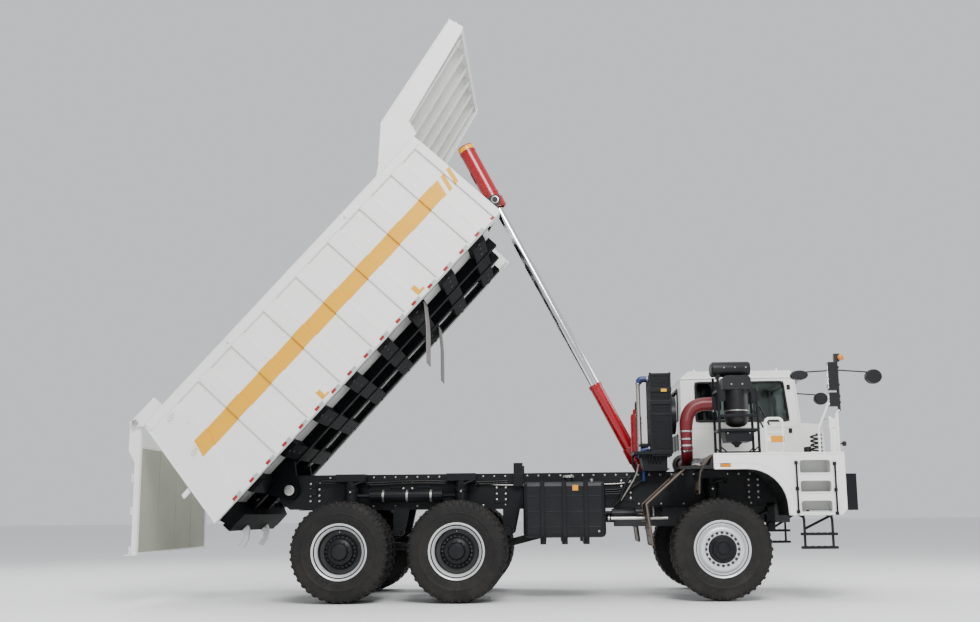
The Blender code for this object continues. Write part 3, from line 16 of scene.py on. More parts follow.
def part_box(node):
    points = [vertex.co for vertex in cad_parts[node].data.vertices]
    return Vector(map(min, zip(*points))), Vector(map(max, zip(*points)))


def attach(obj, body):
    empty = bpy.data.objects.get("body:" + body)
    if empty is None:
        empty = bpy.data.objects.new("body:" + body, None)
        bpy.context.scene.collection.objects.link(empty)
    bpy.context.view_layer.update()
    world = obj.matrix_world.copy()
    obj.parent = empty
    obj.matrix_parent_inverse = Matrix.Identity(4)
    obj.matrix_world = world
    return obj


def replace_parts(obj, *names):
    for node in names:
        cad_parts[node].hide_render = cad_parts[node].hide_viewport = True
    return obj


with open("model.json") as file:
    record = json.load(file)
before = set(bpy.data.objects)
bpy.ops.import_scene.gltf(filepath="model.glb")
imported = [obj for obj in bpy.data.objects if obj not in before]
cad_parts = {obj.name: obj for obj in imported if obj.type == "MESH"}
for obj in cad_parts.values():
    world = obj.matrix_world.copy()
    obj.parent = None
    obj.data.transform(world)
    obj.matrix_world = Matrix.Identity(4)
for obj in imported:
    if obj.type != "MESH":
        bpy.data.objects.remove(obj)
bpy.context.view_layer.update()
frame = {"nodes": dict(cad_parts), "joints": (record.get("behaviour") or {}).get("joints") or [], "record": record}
NODES = frame["nodes"]
JOINTS = {joint["name"]: joint for joint in frame["joints"]}


def middle(node):
    """The centre of a node's box."""
    low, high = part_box(node)
    return (low + high) / 2


FRONT_AXLE = middle("front_right_tyre")
FX = FRONT_AXLE.x                       # lengths along the truck are counted from the front axle
TYRE_R = 0.685
HINGE = Vector(JOINTS["bed_tilt"]["pos_m"])
BED_ANGLE = math.radians(JOINTS["bed_tilt"]["range_deg"][1])
BED = Matrix.Translation(HINGE) @ Matrix.Rotation(-BED_ANGLE, 4, "Y")   # bed lengths, heights to the frame
GATE_PIN = Vector(JOINTS["tailgate_swing"]["pos_m"])
HOIST_PIVOT = Vector(JOINTS["hoist_tilt"]["pos_m"])
HOIST_AXIS = Vector(JOINTS["hoist_slide_1"]["axis"])
LEFT, RIGHT = 1, -1
SIDES = {LEFT: "left", RIGHT: "right"}
print("front axle at", round(FX, 3), "bed hinge at", [round(c, 3) for c in HINGE])

# %% [markdown]
# ## Helpers that turn points into pieces
# Every piece ends as a mesh whose place is in its own points, with its object at the origin. So each
# helper makes a bmesh, and `piece` closes it into an object, gives it a material and a body to ride on.

# %% Shapes as bmesh
TRUCK = Matrix.Translation((FX, 0, 0))


def grown(shape, verts, faces):
    """Adds points and faces to a bmesh."""
    made = [shape.verts.new(v) for v in verts]
    for face in faces:
        shape.faces.new([made[i] for i in face])
    return made


def add_block(shape, x, y, z, place=None):
    """A block between pairs of x, y and z."""
    place = place or Matrix.Identity(4)
    corners = [place @ Vector((x[i], y[j], z[k])) for i in (0, 1) for j in (0, 1) for k in (0, 1)]
    return grown(shape, corners, [(0, 1, 3, 2), (4, 6, 7, 5), (0, 4, 5, 1), (2, 3, 7, 6), (0, 2, 6, 4),
        (1, 5, 7, 3)])


def add_outline(shape, outline, low, high, along="Y", place=None):
    """An outline drawn out along an axis: (x, z) along Y, (x, y) along Z, (y, z) along X."""
    place = place or Matrix.Identity(4)
    order = {"X": lambda a, b, h: (h, a, b), "Y": lambda a, b, h: (a, h, b), "Z": lambda a, b,
        h: (a, b, h)}[along]
    n = len(outline)
    verts = [place @ Vector(order(a, b, h)) for h in (low, high) for a, b in outline]
    faces = [(i, (i + 1) % n, n + (i + 1) % n, n + i) for i in range(n)]
    return grown(shape, verts, faces + [tuple(range(n - 1, -1, -1)), tuple(range(n, 2 * n))])


def add_turned(shape, profile, start, axis, sides=32):
    """A profile of (along, radius) turned about the axis from start. Radius 0 closes an end."""
    start, axis = Vector(start), Vector(axis).normalized()
    across = axis.orthogonal().normalized()
    over = axis.cross(across)
    rings = []
    for along, radius in profile:
        centre = start + axis * along
        if radius < 1e-6:
            rings.append([shape.verts.new(centre)])
            continue
        ring = []
        for i in range(sides):
            a = 2 * math.pi * i / sides
            ring.append(shape.verts.new(centre + (across * math.cos(a) + over * math.sin(a)) * radius))
        rings.append(ring)
    for first, second in zip(rings, rings[1:]):
        for i in range(sides):
            j = (i + 1) % sides
            quad = [first[i % len(first)], first[j % len(first)], second[j % len(second)],
                second[i % len(second)]]
            shape.faces.new(list(dict.fromkeys(quad)))


def collar(inner, outer, length):
    """The profile of a plain ring, for add_turned."""
    return [(0, inner), (0, outer), (length, outer), (length, inner)]


def add_rod(shape, start, end, radius, sides=16, bevel=0.0):
    """A closed round bar with softened ends."""
    length = (Vector(end) - Vector(start)).length
    b = min(bevel, length / 3, radius / 2)
    profile = [(0, 0), (0, radius - b), (b, radius), (length - b, radius), (length, radius - b), (length, 0)]
    if b == 0:
        profile = [(0, 0), (0, radius), (length, radius), (length, 0)]
    add_turned(shape, profile, start, Vector(end) - Vector(start), sides)


def smooth_path(points, steps=8):
    """A Catmull-Rom line through the points."""
    points = [Vector(p) for p in points]
    padded = [points[0] * 2 - points[1], *points, points[-1] * 2 - points[-2]]
    line = []
    for a, b, c, d in zip(padded, padded[1:], padded[2:], padded[3:]):
        for i in range(steps):
            t = i / steps
            line.append(0.5 * (2 * b + (c - a) * t + (2 * a - 5 * b + 4 * c - d) * t ** 2
                               + (3 * b - a - 3 * c + d) * t ** 3))
    return line + [points[-1]]


def add_tube(shape, line, radius, sides=12):
    """A round tube along a line; radius may be a function of the share travelled."""
    line = [Vector(p) for p in line]
    size = radius if callable(radius) else (lambda share: radius)
    across = (line[1] - line[0]).orthogonal().normalized()
    rings = []
    for i, point in enumerate(line):
        ahead = (line[min(i + 1, len(line) - 1)] - line[max(i - 1, 0)]).normalized()
        across = (across - across.dot(ahead) * ahead).normalized()
        over = ahead.cross(across)
        r = size(i / (len(line) - 1))
        turn = [2 * math.pi * j / sides for j in range(sides)]
        rings.append([shape.verts.new(point + (across * math.cos(a) + over * math.sin(a)) * r) for a in turn])
    for first, second in zip(rings, rings[1:]):
        for i in range(sides):
            shape.faces.new((first[i], first[(i + 1) % sides], second[(i + 1) % sides], second[i]))
    shape.faces.new(rings[0][::-1])
    shape.faces.new(rings[-1])


def piece(name, shape, material, body, place=TRUCK, bevel=0.0, angle=35, segments=2):
    """Closes a bmesh into an object at the origin that rides on a body."""
    bmesh.ops.transform(shape, matrix=place, verts=shape.verts)
    bmesh.ops.recalc_face_normals(shape, faces=shape.faces)
    name = name.replace(" ", "_")
    mesh = bpy.data.meshes.new(name)
    shape.to_mesh(mesh)
    shape.free()
    made = bpy.data.objects.new(name, mesh)
    bpy.context.scene.collection.objects.link(made)
    mesh.materials.append(material)
    mesh.shade_smooth()
    mesh.set_sharp_from_angle(angle=math.radians(angle))
    if bevel:
        softened = made.modifiers.new("Bevel", "BEVEL")
        softened.width, softened.segments = bevel, segments
        softened.limit_method, softened.angle_limit = "ANGLE", math.radians(40)
        softened.harden_normals = True
    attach(made, body)
    return made


def baked(made):
    """Turns a piece's modifiers into plain mesh."""
    graph = bpy.context.evaluated_depsgraph_get()
    mesh = bpy.data.meshes.new_from_object(made.evaluated_get(graph))
    made.modifiers.clear()
    made.data = mesh
    return made


print("helpers ready")
# %% [markdown]
# ## Finishes
# Paint on a working truck is never one flat colour. Three shader groups are built once and used in
# every finish. **Worn edges** compares the true normal with a rounded one, so it finds corners.
# **Settled dust** finds faces that look up and breaks them with noise. **Fine grain** is the orange
# peel of paint or the pebble of moulded plastic, given out as a bump normal.

# %% A small language for node trees
def socket(group, name, kind, value=None, out=False):
    made = group.interface.new_socket(name, in_out="OUTPUT" if out else "INPUT", socket_type=kind)
    if value is not None:
        made.default_value = value
    return made


def add_node(tree, kind, **settings):
    made = tree.nodes.new(kind)
    for key, value in settings.items():
        if key.startswith("in_"):
            name = key[3:].replace("_", " ")
            (made.inputs[int(name)] if name.isdigit() else made.inputs[name]).default_value = value
        else:
            setattr(made, key, value)
    return made


def join(tree, *pairs):
    for start, end in pairs:
        tree.links.new(start, end)


def maths(tree, operation, a, b=None, c=None, clamp=False):
    made = add_node(tree, "ShaderNodeMath", operation=operation, use_clamp=clamp)
    for i, value in enumerate((a, b, c)):
        if value is None:
            continue
        if isinstance(value, (int, float)):
            made.inputs[i].default_value = value
        else:
            tree.links.new(value, made.inputs[i])
    return made.outputs[0]


def noise(tree, vector, scale, detail=3.0, roughness=0.55):
    made = add_node(tree, "ShaderNodeTexNoise", in_Scale=scale, in_Detail=detail, in_Roughness=roughness)
    tree.links.new(vector, made.inputs["Vector"])
    return made.outputs["Fac"]


def steps(tree, value, low, high):
    """Nought below low, one above high, smooth between."""
    made = add_node(tree, "ShaderNodeMapRange", interpolation_type="SMOOTHSTEP")
    made.inputs["From Min"].default_value, made.inputs["From Max"].default_value = low, high
    tree.links.new(value, made.inputs["Value"])
    return made.outputs["Result"]


def blend_colour(tree, share, a, b):
    made = add_node(tree, "ShaderNodeMix", data_type="RGBA")
    for target, value in ((made.inputs[0], share), (made.inputs[6], a), (made.inputs[7], b)):
        if isinstance(value, (tuple, list)):
            target.default_value = (*value, 1.0) if len(value) == 3 else value
        elif isinstance(value, (int, float)):
            target.default_value = value
        else:
            tree.links.new(value, target)
    return made.outputs[2]


def new_group(name, inputs, outputs):
    group = bpy.data.node_groups.new(name, "ShaderNodeTree")
    for label, kind, value in inputs:
        socket(group, label, kind, value)
    for label, kind in outputs:
        socket(group, label, kind, out=True)
    return group, group.nodes.new("NodeGroupInput"), group.nodes.new("NodeGroupOutput")


# %% Worn edges
WORN, given, out = new_group("worn_edges", [("Vector", "NodeSocketVector", None),
    ("Width", "NodeSocketFloat", 0.006), ("Patchiness", "NodeSocketFloat", 9.0),
    ("Amount", "NodeSocketFloat", 0.5)], [("Mask", "NodeSocketFloat")])
rounded = add_node(WORN, "ShaderNodeBevel", samples=4)
true_face = add_node(WORN, "ShaderNodeNewGeometry")
likeness = add_node(WORN, "ShaderNodeVectorMath", operation="DOT_PRODUCT")
join(WORN, (given.outputs["Width"], rounded.inputs["Radius"]), (rounded.outputs[0], likeness.inputs[0]),
     (true_face.outputs["Normal"], likeness.inputs[1]))
corner = maths(WORN, "SUBTRACT", 1.0, likeness.outputs["Value"])
patch = noise(WORN, given.outputs["Vector"], 9.0, 5.0, 0.7)
patch_node = patch.node
join(WORN, (given.outputs["Patchiness"], patch_node.inputs["Scale"]))
mask = maths(WORN, "MULTIPLY", steps(WORN, corner, 0.02, 0.22), steps(WORN, patch, 0.48, 0.62))
join(WORN, (maths(WORN, "MULTIPLY", mask, given.outputs["Amount"], clamp=True), out.inputs["Mask"]))

# %% Settled dust
DUST, given, out = new_group("settled_dust", [("Vector", "NodeSocketVector", None),
    ("Amount", "NodeSocketFloat", 0.4), ("Lowest", "NodeSocketFloat", 0.0),
    ("Highest", "NodeSocketFloat", 3.0)], [("Mask", "NodeSocketFloat")])
face = add_node(DUST, "ShaderNodeNewGeometry")
facing = add_node(DUST, "ShaderNodeSeparateXYZ")
where = add_node(DUST, "ShaderNodeSeparateXYZ")
join(DUST, (face.outputs["Normal"], facing.inputs[0]), (given.outputs["Vector"], where.inputs[0]))
upward = steps(DUST, facing.outputs["Z"], 0.1, 0.95)
height = add_node(DUST, "ShaderNodeMapRange")
height.inputs["To Min"].default_value, height.inputs["To Max"].default_value = 1.0, 0.0
join(DUST, (where.outputs["Z"], height.inputs["Value"]), (given.outputs["Lowest"], height.inputs["From Min"]),
     (given.outputs["Highest"], height.inputs["From Max"]))
cloud = steps(DUST, noise(DUST, given.outputs["Vector"], 3.2, 6.0, 0.65), 0.35, 0.75)
speck = steps(DUST, noise(DUST, given.outputs["Vector"], 55.0, 3.0, 0.6), 0.45, 0.7)
low_dirt = maths(DUST, "MULTIPLY", height.outputs["Result"], 0.65)
gathered = maths(DUST, "ADD", maths(DUST, "MULTIPLY", upward, 0.6), low_dirt)
broken = maths(DUST, "MULTIPLY", gathered, maths(DUST, "MULTIPLY_ADD", speck, 0.35,
    maths(DUST, "MULTIPLY", cloud, 0.8)))
join(DUST, (maths(DUST, "MULTIPLY", broken, given.outputs["Amount"], clamp=True), out.inputs["Mask"]))

# %% Fine grain
GRAIN, given, out = new_group("fine_grain", [("Vector", "NodeSocketVector", None),
    ("Scale", "NodeSocketFloat", 220.0), ("Depth", "NodeSocketFloat", 0.0002),
    ("Rounding", "NodeSocketFloat", 0.004)], [("Normal", "NodeSocketVector"),
    ("Height", "NodeSocketFloat")])
soft_corner = add_node(GRAIN, "ShaderNodeBevel", samples=4)
pebble = noise(GRAIN, given.outputs["Vector"], 220.0, 2.0, 0.5)
join(GRAIN, (given.outputs["Scale"], pebble.node.inputs["Scale"]),
    (given.outputs["Rounding"], soft_corner.inputs["Radius"]))
bump = add_node(GRAIN, "ShaderNodeBump", in_Strength=1.0)
join(GRAIN, (pebble, bump.inputs["Height"]), (given.outputs["Depth"], bump.inputs["Distance"]),
    (soft_corner.outputs[0], bump.inputs["Normal"]), (bump.outputs[0], out.inputs["Normal"]),
    (pebble, out.inputs["Height"]))
print("shader groups:", [g.name for g in bpy.data.node_groups])

# %% [markdown]
# ### One recipe for every hard surface
# `surface` starts a Principled material and feeds it from the groups: base colour through dust and
# wear, roughness raised where it is dusty, and grain in the normal. Each finish then has its own
# numbers, and some have a pattern of their own before the dust settles.

# %% The surface recipe
DUST_COLOUR = (0.33, 0.29, 0.24)


def surface(name, colour, rough=0.4, metal=0.0, dust=0.3, highest=3.0, wear=0.3, bare=(0.25, 0.24, 0.23),
        grain=220.0, depth=0.00015, rounding=0.004, coat=0.0, mottling=0.06, pattern=None, width=0.006,
        shine=0.5):
    material = bpy.data.materials.new(name)
    material.use_nodes = True
    tree = material.node_tree
    shader = tree.nodes["Principled BSDF"]
    place = add_node(tree, "ShaderNodeTexCoord").outputs["Object"]
    base = pattern(tree, place) if pattern else colour
    shade = maths(tree, "MULTIPLY_ADD", noise(tree, place, 1.7, 5.0), 2 * mottling, 1.0 - mottling)
    tint = add_node(tree, "ShaderNodeMix", data_type="RGBA", blend_type="MULTIPLY", in_0=1.0)
    if isinstance(base, tuple):
        tint.inputs[6].default_value = (*base, 1.0)
    else:
        join(tree, (base, tint.inputs[6]))
    join(tree, (shade, tint.inputs[7]))
    worn = add_node(tree, "ShaderNodeGroup", node_tree=WORN, in_Width=width, in_Amount=wear)
    dusty = add_node(tree, "ShaderNodeGroup", node_tree=DUST, in_Amount=dust, in_Highest=highest)
    fine = add_node(tree, "ShaderNodeGroup", node_tree=GRAIN, in_Scale=grain, in_Depth=depth,
        in_Rounding=rounding)
    for group in (worn, dusty, fine):
        join(tree, (place, group.inputs["Vector"]))
    chipped = blend_colour(tree, worn.outputs["Mask"], tint.outputs[2], bare)
    shown = blend_colour(tree, dusty.outputs["Mask"], chipped, DUST_COLOUR)
    scuffs = maths(tree, "MULTIPLY_ADD", noise(tree, place, 6.0, 6.0, 0.7), 0.16, rough - 0.08)
    rougher = maths(tree, "MULTIPLY_ADD", dusty.outputs["Mask"], 0.5, scuffs, clamp=True)
    join(tree, (shown, shader.inputs["Base Color"]), (rougher, shader.inputs["Roughness"]),
         (fine.outputs["Normal"], shader.inputs["Normal"]))
    shader.inputs["Metallic"].default_value = metal
    shader.inputs["Specular IOR Level"].default_value = shine
    shader.inputs["Coat Weight"].default_value = coat
    shader.inputs["Coat Roughness"].default_value = 0.08
    return material


def bed_coordinates(tree, place):
    """Lengths and heights in the bed, from its hinge, for a pattern that lies along the bed."""
    moved = add_node(tree, "ShaderNodeVectorMath", operation="SUBTRACT")
    moved.inputs[1].default_value = HINGE
    join(tree, (place, moved.inputs[0]))
    turned = []
    for axis in ((math.cos(BED_ANGLE), 0, math.sin(BED_ANGLE)),
            (-math.sin(BED_ANGLE), 0, math.cos(BED_ANGLE))):
        dot = add_node(tree, "ShaderNodeVectorMath", operation="DOT_PRODUCT")
        dot.inputs[1].default_value = axis
        join(tree, (moved.outputs[0], dot.inputs[0]))
        turned.append(dot.outputs["Value"])
    return turned


def between(tree, value, low, high):
    return maths(tree, "MULTIPLY", maths(tree, "GREATER_THAN", value, low),
        maths(tree, "LESS_THAN", value, high))


WHITE = (0.80, 0.81, 0.78)
YELLOW = (0.74, 0.36, 0.0)
BAND = (0.996, 1.243)          # the yellow band's heights in the bed


def bed_pattern(tree, place):
    """White with the yellow band along the sides and its two short stripes ahead of it."""
    along, high = bed_coordinates(tree, place)
    split = add_node(tree, "ShaderNodeSeparateXYZ")
    join(tree, (place, split.inputs[0]))
    outside = maths(tree, "GREATER_THAN", maths(tree, "ABSOLUTE", split.outputs["Y"]), 1.66)
    leaning = maths(tree, "MULTIPLY_ADD", high, -0.30, along)
    band = between(tree, leaning, -0.62, 4.33)
    for low, top in ((4.39, 4.455), (4.515, 4.58)):
        band = maths(tree, "MAXIMUM", band, between(tree, leaning, low, top))
    band = maths(tree, "MULTIPLY", maths(tree, "MULTIPLY", band, between(tree, high, *BAND)), outside)
    painted = blend_colour(tree, band, WHITE, YELLOW)
    stretched = add_node(tree, "ShaderNodeCombineXYZ")
    join(tree, (maths(tree, "MULTIPLY", along, 9.0), stretched.inputs[0]),
        (maths(tree, "MULTIPLY", high, 0.9), stretched.inputs[1]))
    streaks = steps(tree, noise(tree, stretched.outputs[0], 1.0, 6.0, 0.6), 0.55, 0.8)
    soiled = maths(tree, "MULTIPLY", streaks, 0.08)
    inside = maths(tree, "MULTIPLY", maths(tree, "SUBTRACT", 1.0, outside), between(tree, high, 0.40, 1.80))
    scraped = steps(tree, noise(tree, place, 4.0, 8.0, 0.7), 0.50, 0.62)
    floor_wear = maths(tree, "MULTIPLY", maths(tree, "MULTIPLY", inside, scraped), 0.35)
    return blend_colour(tree, floor_wear, blend_colour(tree, soiled, painted, (0.52, 0.48, 0.41)),
        (0.30, 0.29, 0.28))


def deck_pattern(tree, place):
    """White outside, black inside the wheel arch that runs through the deck, and painted shade: black on every
    face below the deck top that looks down.
    """
    split, way = add_node(tree, "ShaderNodeSeparateXYZ"), add_node(tree, "ShaderNodeSeparateXYZ")
    face = add_node(tree, "ShaderNodeNewGeometry")
    join(tree, (place, split.inputs[0]), (face.outputs["Normal"], way.inputs[0]))
    x, y, z = split.outputs
    arch = maths(tree, "MULTIPLY", maths(tree, "LESS_THAN", maths(tree, "ABSOLUTE", y), 1.600),
        maths(tree, "LESS_THAN", z, 1.93))
    arch = maths(tree, "MULTIPLY", arch, maths(tree, "LESS_THAN", x, FX + 1.03))
    # painted shade: every face below the deck top that looks down is painted black
    under = maths(tree, "MULTIPLY", maths(tree, "LESS_THAN", way.outputs["Z"], -0.5),
        maths(tree, "LESS_THAN", z, 1.93))
    return blend_colour(tree, maths(tree, "MAXIMUM", arch, under), WHITE, (0.006, 0.0065, 0.008))


def rail_pattern(tree, place):
    """White low down and black from the mirror arms up."""
    split = add_node(tree, "ShaderNodeSeparateXYZ")
    join(tree, (place, split.inputs[0]))
    return blend_colour(tree, maths(tree, "GREATER_THAN", split.outputs["Z"], 2.49), WHITE,
        (0.007, 0.007, 0.008))


# %% Paints and metals
PAINT = {"white_paint": surface("white_paint_semi_gloss", WHITE, 0.30, dust=0.16, wear=0.10, coat=0.35,
    depth=0.00008), "bed_paint": surface("bed_paint_with_yellow_band", WHITE, 0.40, dust=0.03,
    highest=1.2, wear=0.05, coat=0.04, depth=0.0001, pattern=bed_pattern),
    "deck_paint": surface("deck_paint_black_in_the_arch", WHITE, 0.32, dust=0.10, wear=0.10, coat=0.3,
    depth=0.0001, pattern=deck_pattern), "rail_paint": surface("rail_paint_white_then_black", WHITE, 0.36,
    dust=0.06, wear=0.10, coat=0.2, depth=0.0001, pattern=rail_pattern),
    "black_paint": surface("chassis_black_paint", (0.0055, 0.0062, 0.0080), 0.40, dust=0.07, highest=1.6,
    wear=0.10, bare=(0.10, 0.10, 0.10), depth=0.0003, grain=120.0, shine=0.22),
    "under_black": surface("underframe_black_paint", (0.0035, 0.004, 0.005), 0.62, dust=0.0, wear=0.10,
    bare=(0.06, 0.06, 0.06), depth=0.0003, grain=120.0, shine=0.06),
    "engine_grey": surface("cast_engine_grey", (0.040, 0.043, 0.048), 0.50, 0.2, dust=0.20, wear=0.25,
    grain=90.0, depth=0.0008), "rim_silver": surface("silver_wheel_paint", (0.62, 0.63, 0.64), 0.34, 0.45,
    dust=0.10, highest=1.4, wear=0.20, coat=0.2), "dark_rim": surface("dark_wheel_paint",
    (0.018, 0.019, 0.021), 0.42, 0.3, dust=0.12, highest=1.4, wear=0.2),
    "hoist_red": surface("gloss_red_paint", (0.30, 0.001, 0.008), 0.26, dust=0.03, wear=0.05, coat=0.25,
    depth=0.00006), "hoist_yellow": surface("gloss_yellow_paint", YELLOW, 0.28, dust=0.04, wear=0.05,
    coat=0.15), "chrome": surface("hard_chrome", (0.72, 0.73, 0.75), 0.14, 1.0, dust=0.05, wear=0.0,
    mottling=0.03, grain=400.0, depth=0.00002), "zinc": surface("zinc_plated_bolts", (0.48, 0.48, 0.46),
    0.36, 0.9, dust=0.22, highest=2.0, wear=0.1), "steel": surface("bare_worn_steel", (0.42, 0.40, 0.37),
    0.42, 0.85, dust=0.25, wear=0.2), "olive_primer": surface("olive_primer", (0.30, 0.31, 0.25), 0.60,
    dust=0.3, wear=0.3, bare=(0.25, 0.24, 0.2), mottling=0.15),}

# %% Rubber, plastic and cloth
PAINT.update({"tyre_rubber": surface("tyre_rubber", (0.0068, 0.0064, 0.0062), 0.66, dust=0.09,
    highest=1.9, wear=0.0, grain=160.0, depth=0.0006, mottling=0.2, shine=0.25),
    "grey_rubber": surface("grey_rubber_sheet", (0.17, 0.165, 0.155), 0.70, dust=0.25, wear=0.2,
    bare=(0.3, 0.28, 0.25), grain=140.0, depth=0.0004, mottling=0.18),
    "brown_rubber": surface("brown_rubber_sheet", (0.115, 0.082, 0.055), 0.68, dust=0.2, wear=0.1,
    mottling=0.15), "red_silicone": surface("red_silicone_hose", (0.11, 0.002, 0.006), 0.36, dust=0.03,
    wear=0.0, grain=300.0, depth=0.0002), "blue_silicone": surface("blue_silicone_hose",
    (0.004, 0.022, 0.11), 0.36, dust=0.04, wear=0.0, grain=300.0, depth=0.0002),
    "black_hose": surface("black_rubber_hose", (0.010, 0.010, 0.011), 0.46, dust=0.08, wear=0.0,
    grain=260.0, depth=0.0003, shine=0.3), "black_plastic": surface("moulded_black_plastic",
    (0.009, 0.009, 0.010), 0.42, dust=0.05, wear=0.06, grain=350.0, depth=0.0003, shine=0.28),
    "seat_cloth": surface("seat_cloth", (0.07, 0.07, 0.078), 0.9, dust=0.05, wear=0.0, grain=500.0,
    depth=0.0008, mottling=0.12), "orange_plate": surface("orange_reflective_plate", (0.66, 0.27, 0.002),
    0.3, dust=0.05, wear=0.0), "tape_red": surface("red_reflective_tape", (0.30, 0.008, 0.012), 0.28,
    dust=0.1, wear=0.0, grain=700.0, depth=0.0004), "tape_silver": surface("silver_reflective_tape",
    (0.42, 0.43, 0.45), 0.3, 0.3, dust=0.1, wear=0.0, grain=700.0, depth=0.0004),})


def clear(name, colour, rough=0.02, transmission=1.0):
    """A clear or tinted pane or lens."""
    material = bpy.data.materials.new(name)
    material.use_nodes = True
    tree = material.node_tree
    shader = tree.nodes["Principled BSDF"]
    place = add_node(tree, "ShaderNodeTexCoord").outputs["Object"]
    smear = maths(tree, "MULTIPLY_ADD", noise(tree, place, 5.0, 5.0), 0.06, rough)
    join(tree, (blend_colour(tree, noise(tree, place, 2.0, 3.0), colour, tuple(c * 0.9 for c in colour)),
        shader.inputs["Base Color"]), (smear, shader.inputs["Roughness"]))
    shader.inputs["Transmission Weight"].default_value = transmission
    shader.inputs["IOR"].default_value = 1.45
    return material


PAINT["window_glass"] = clear("tinted_window_glass", (0.42, 0.50, 0.47))
PAINT["lamp_glass"] = clear("lamp_glass", (0.85, 0.87, 0.88))
PAINT["amber_lens"] = clear("amber_lens", (0.95, 0.30, 0.01), 0.08, 0.4)
PAINT["red_lens"] = clear("red_lens", (0.62, 0.01, 0.01), 0.08, 0.4)
PAINT["mirror_face"] = surface("mirror_silvering", (0.9, 0.9, 0.9), 0.05, 1.0, dust=0.04, wear=0.0,
    mottling=0.01, depth=0.0, grain=50.0)
print(len(PAINT), "finishes")

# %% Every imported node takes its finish
SLOT_OF = {row["node"]: row["material_slot"] for row in frame["record"]["subparts"]}
FINISH_OF = {"dump_bed": "bed_paint", "bed_underframe": "under_black", "left_deck": "deck_paint",
    "right_deck": "deck_paint", "right_mirror_rail": "rail_paint"}
for name, node in NODES.items():
    key = FINISH_OF.get(name, SLOT_OF[name])
    node.data.materials.clear()
    node.data.materials.append(PAINT[key])
print("dressed", len(NODES), "nodes")
# %% [markdown]
# ## Repeats by geometry nodes
# Bolts round a rim, cleats of a tread and rungs in a row are one piece many times over. Two node
# trees do it. The first sets copies on a ring, the second in a straight row. Each is run once on a
# single seed piece, its copies are made real, and what it made is kept as plain mesh.

# %% Two trees that repeat a piece
def repeat_tree(name, ring):
    tree = bpy.data.node_groups.new(name, "GeometryNodeTree")
    socket(tree, "Geometry", "NodeSocketGeometry")
    socket(tree, "Count", "NodeSocketInt", 12)
    socket(tree, "Step", "NodeSocketVector", (0.1, 0, 0))
    socket(tree, "Geometry", "NodeSocketGeometry", out=True)
    given, out = tree.nodes.new("NodeGroupInput"), tree.nodes.new("NodeGroupOutput")
    points = add_node(tree, "GeometryNodeMeshLine")
    put = add_node(tree, "GeometryNodeInstanceOnPoints")
    real = add_node(tree, "GeometryNodeRealizeInstances")
    index = add_node(tree, "GeometryNodeInputIndex")
    join(tree, (given.outputs["Count"], points.inputs["Count"]),
        (points.outputs[0], put.inputs["Points"]), (given.outputs["Geometry"], put.inputs["Instance"]),
        (put.outputs[0], real.inputs[0]), (real.outputs[0], out.inputs[0]))
    if ring:
        points.inputs["Offset"].default_value = (0, 0, 0)
        turn = maths(tree, "DIVIDE", index.outputs[0], given.outputs["Count"])
        angle = maths(tree, "MULTIPLY", turn, 2 * math.pi)
        spin = add_node(tree, "ShaderNodeCombineXYZ")
        join(tree, (angle, spin.inputs["Y"]), (spin.outputs[0], put.inputs["Rotation"]))
    else:
        join(tree, (given.outputs["Step"], points.inputs["Offset"]))
    return tree


RING, ROW = repeat_tree("copies_on_a_ring", True), repeat_tree("copies_in_a_row", False)


def repeated(seed, tree, count, step=(0.1, 0, 0)):
    """Runs a repeat tree on a seed bmesh and gives back a bmesh of all the copies."""
    bmesh.ops.recalc_face_normals(seed, faces=seed.faces)
    mesh = bpy.data.meshes.new("seed")
    seed.to_mesh(mesh)
    seed.free()
    holder = bpy.data.objects.new("seed", mesh)
    bpy.context.scene.collection.objects.link(holder)
    work = holder.modifiers.new("Repeat", "NODES")
    work.node_group = tree
    ids = {item.name: item.identifier for item in tree.interface.items_tree if item.in_out == "INPUT"}
    work[ids["Count"]] = count
    work[ids["Step"]] = Vector(step)
    made = bmesh.new()
    made.from_mesh(baked(holder).data)
    bpy.data.objects.remove(holder)
    return made


def add_shape(shape, other, place=None):
    """Copies one bmesh into another."""
    mesh = bpy.data.meshes.new("joined")
    if place:
        bmesh.ops.transform(other, matrix=place, verts=other.verts)
    other.to_mesh(mesh)
    other.free()
    shape.from_mesh(mesh)
    bpy.data.meshes.remove(mesh)


def bolt_ring(radius, count, across, y, height, washer=True):
    """Hexagonal heads on a ring about Y, facing the end that y + height is at."""
    seed = bmesh.new()
    out = 1 if height > 0 else -1
    if washer:
        add_turned(seed, [(0, 0), (0, across * 0.72), (0.003, across * 0.72), (0.003, 0)], (radius, y, 0),
            (0, out, 0), 14)
    head = [(0, 0), (0, across / 2), (abs(height) * 0.8, across / 2), (abs(height), across * 0.40),
        (abs(height), 0)]
    add_turned(seed, head, (radius, y + 0.002 * out, 0), (0, out, 0), 6)
    return repeated(seed, RING, count)


def bolt_row(start, step, count, across=0.03, height=0.014, axis=(0, 0, 1)):
    """Hexagonal heads in a straight row."""
    seed = bmesh.new()
    add_turned(seed, [(0, 0), (0, across * 0.70), (0.003, across * 0.70), (0.003, 0)], start, axis, 12)
    head = [(0, 0), (0, across / 2), (height * 0.8, across / 2), (height, across * 0.40), (height, 0)]
    add_turned(seed, head, start, axis, 6)
    return repeated(seed, ROW, count, step)


print("repeat trees:", RING.name, "and", ROW.name)

# %% [markdown]
# ## Tyres
# A quarry tyre has a rounded shoulder, a side wall with raised rings, and deep cleats that reach
# round the shoulder in two staggered rows. Its casing is turned from a profile. Its cleats are one
# seed pair repeated forty-two times round the tyre.

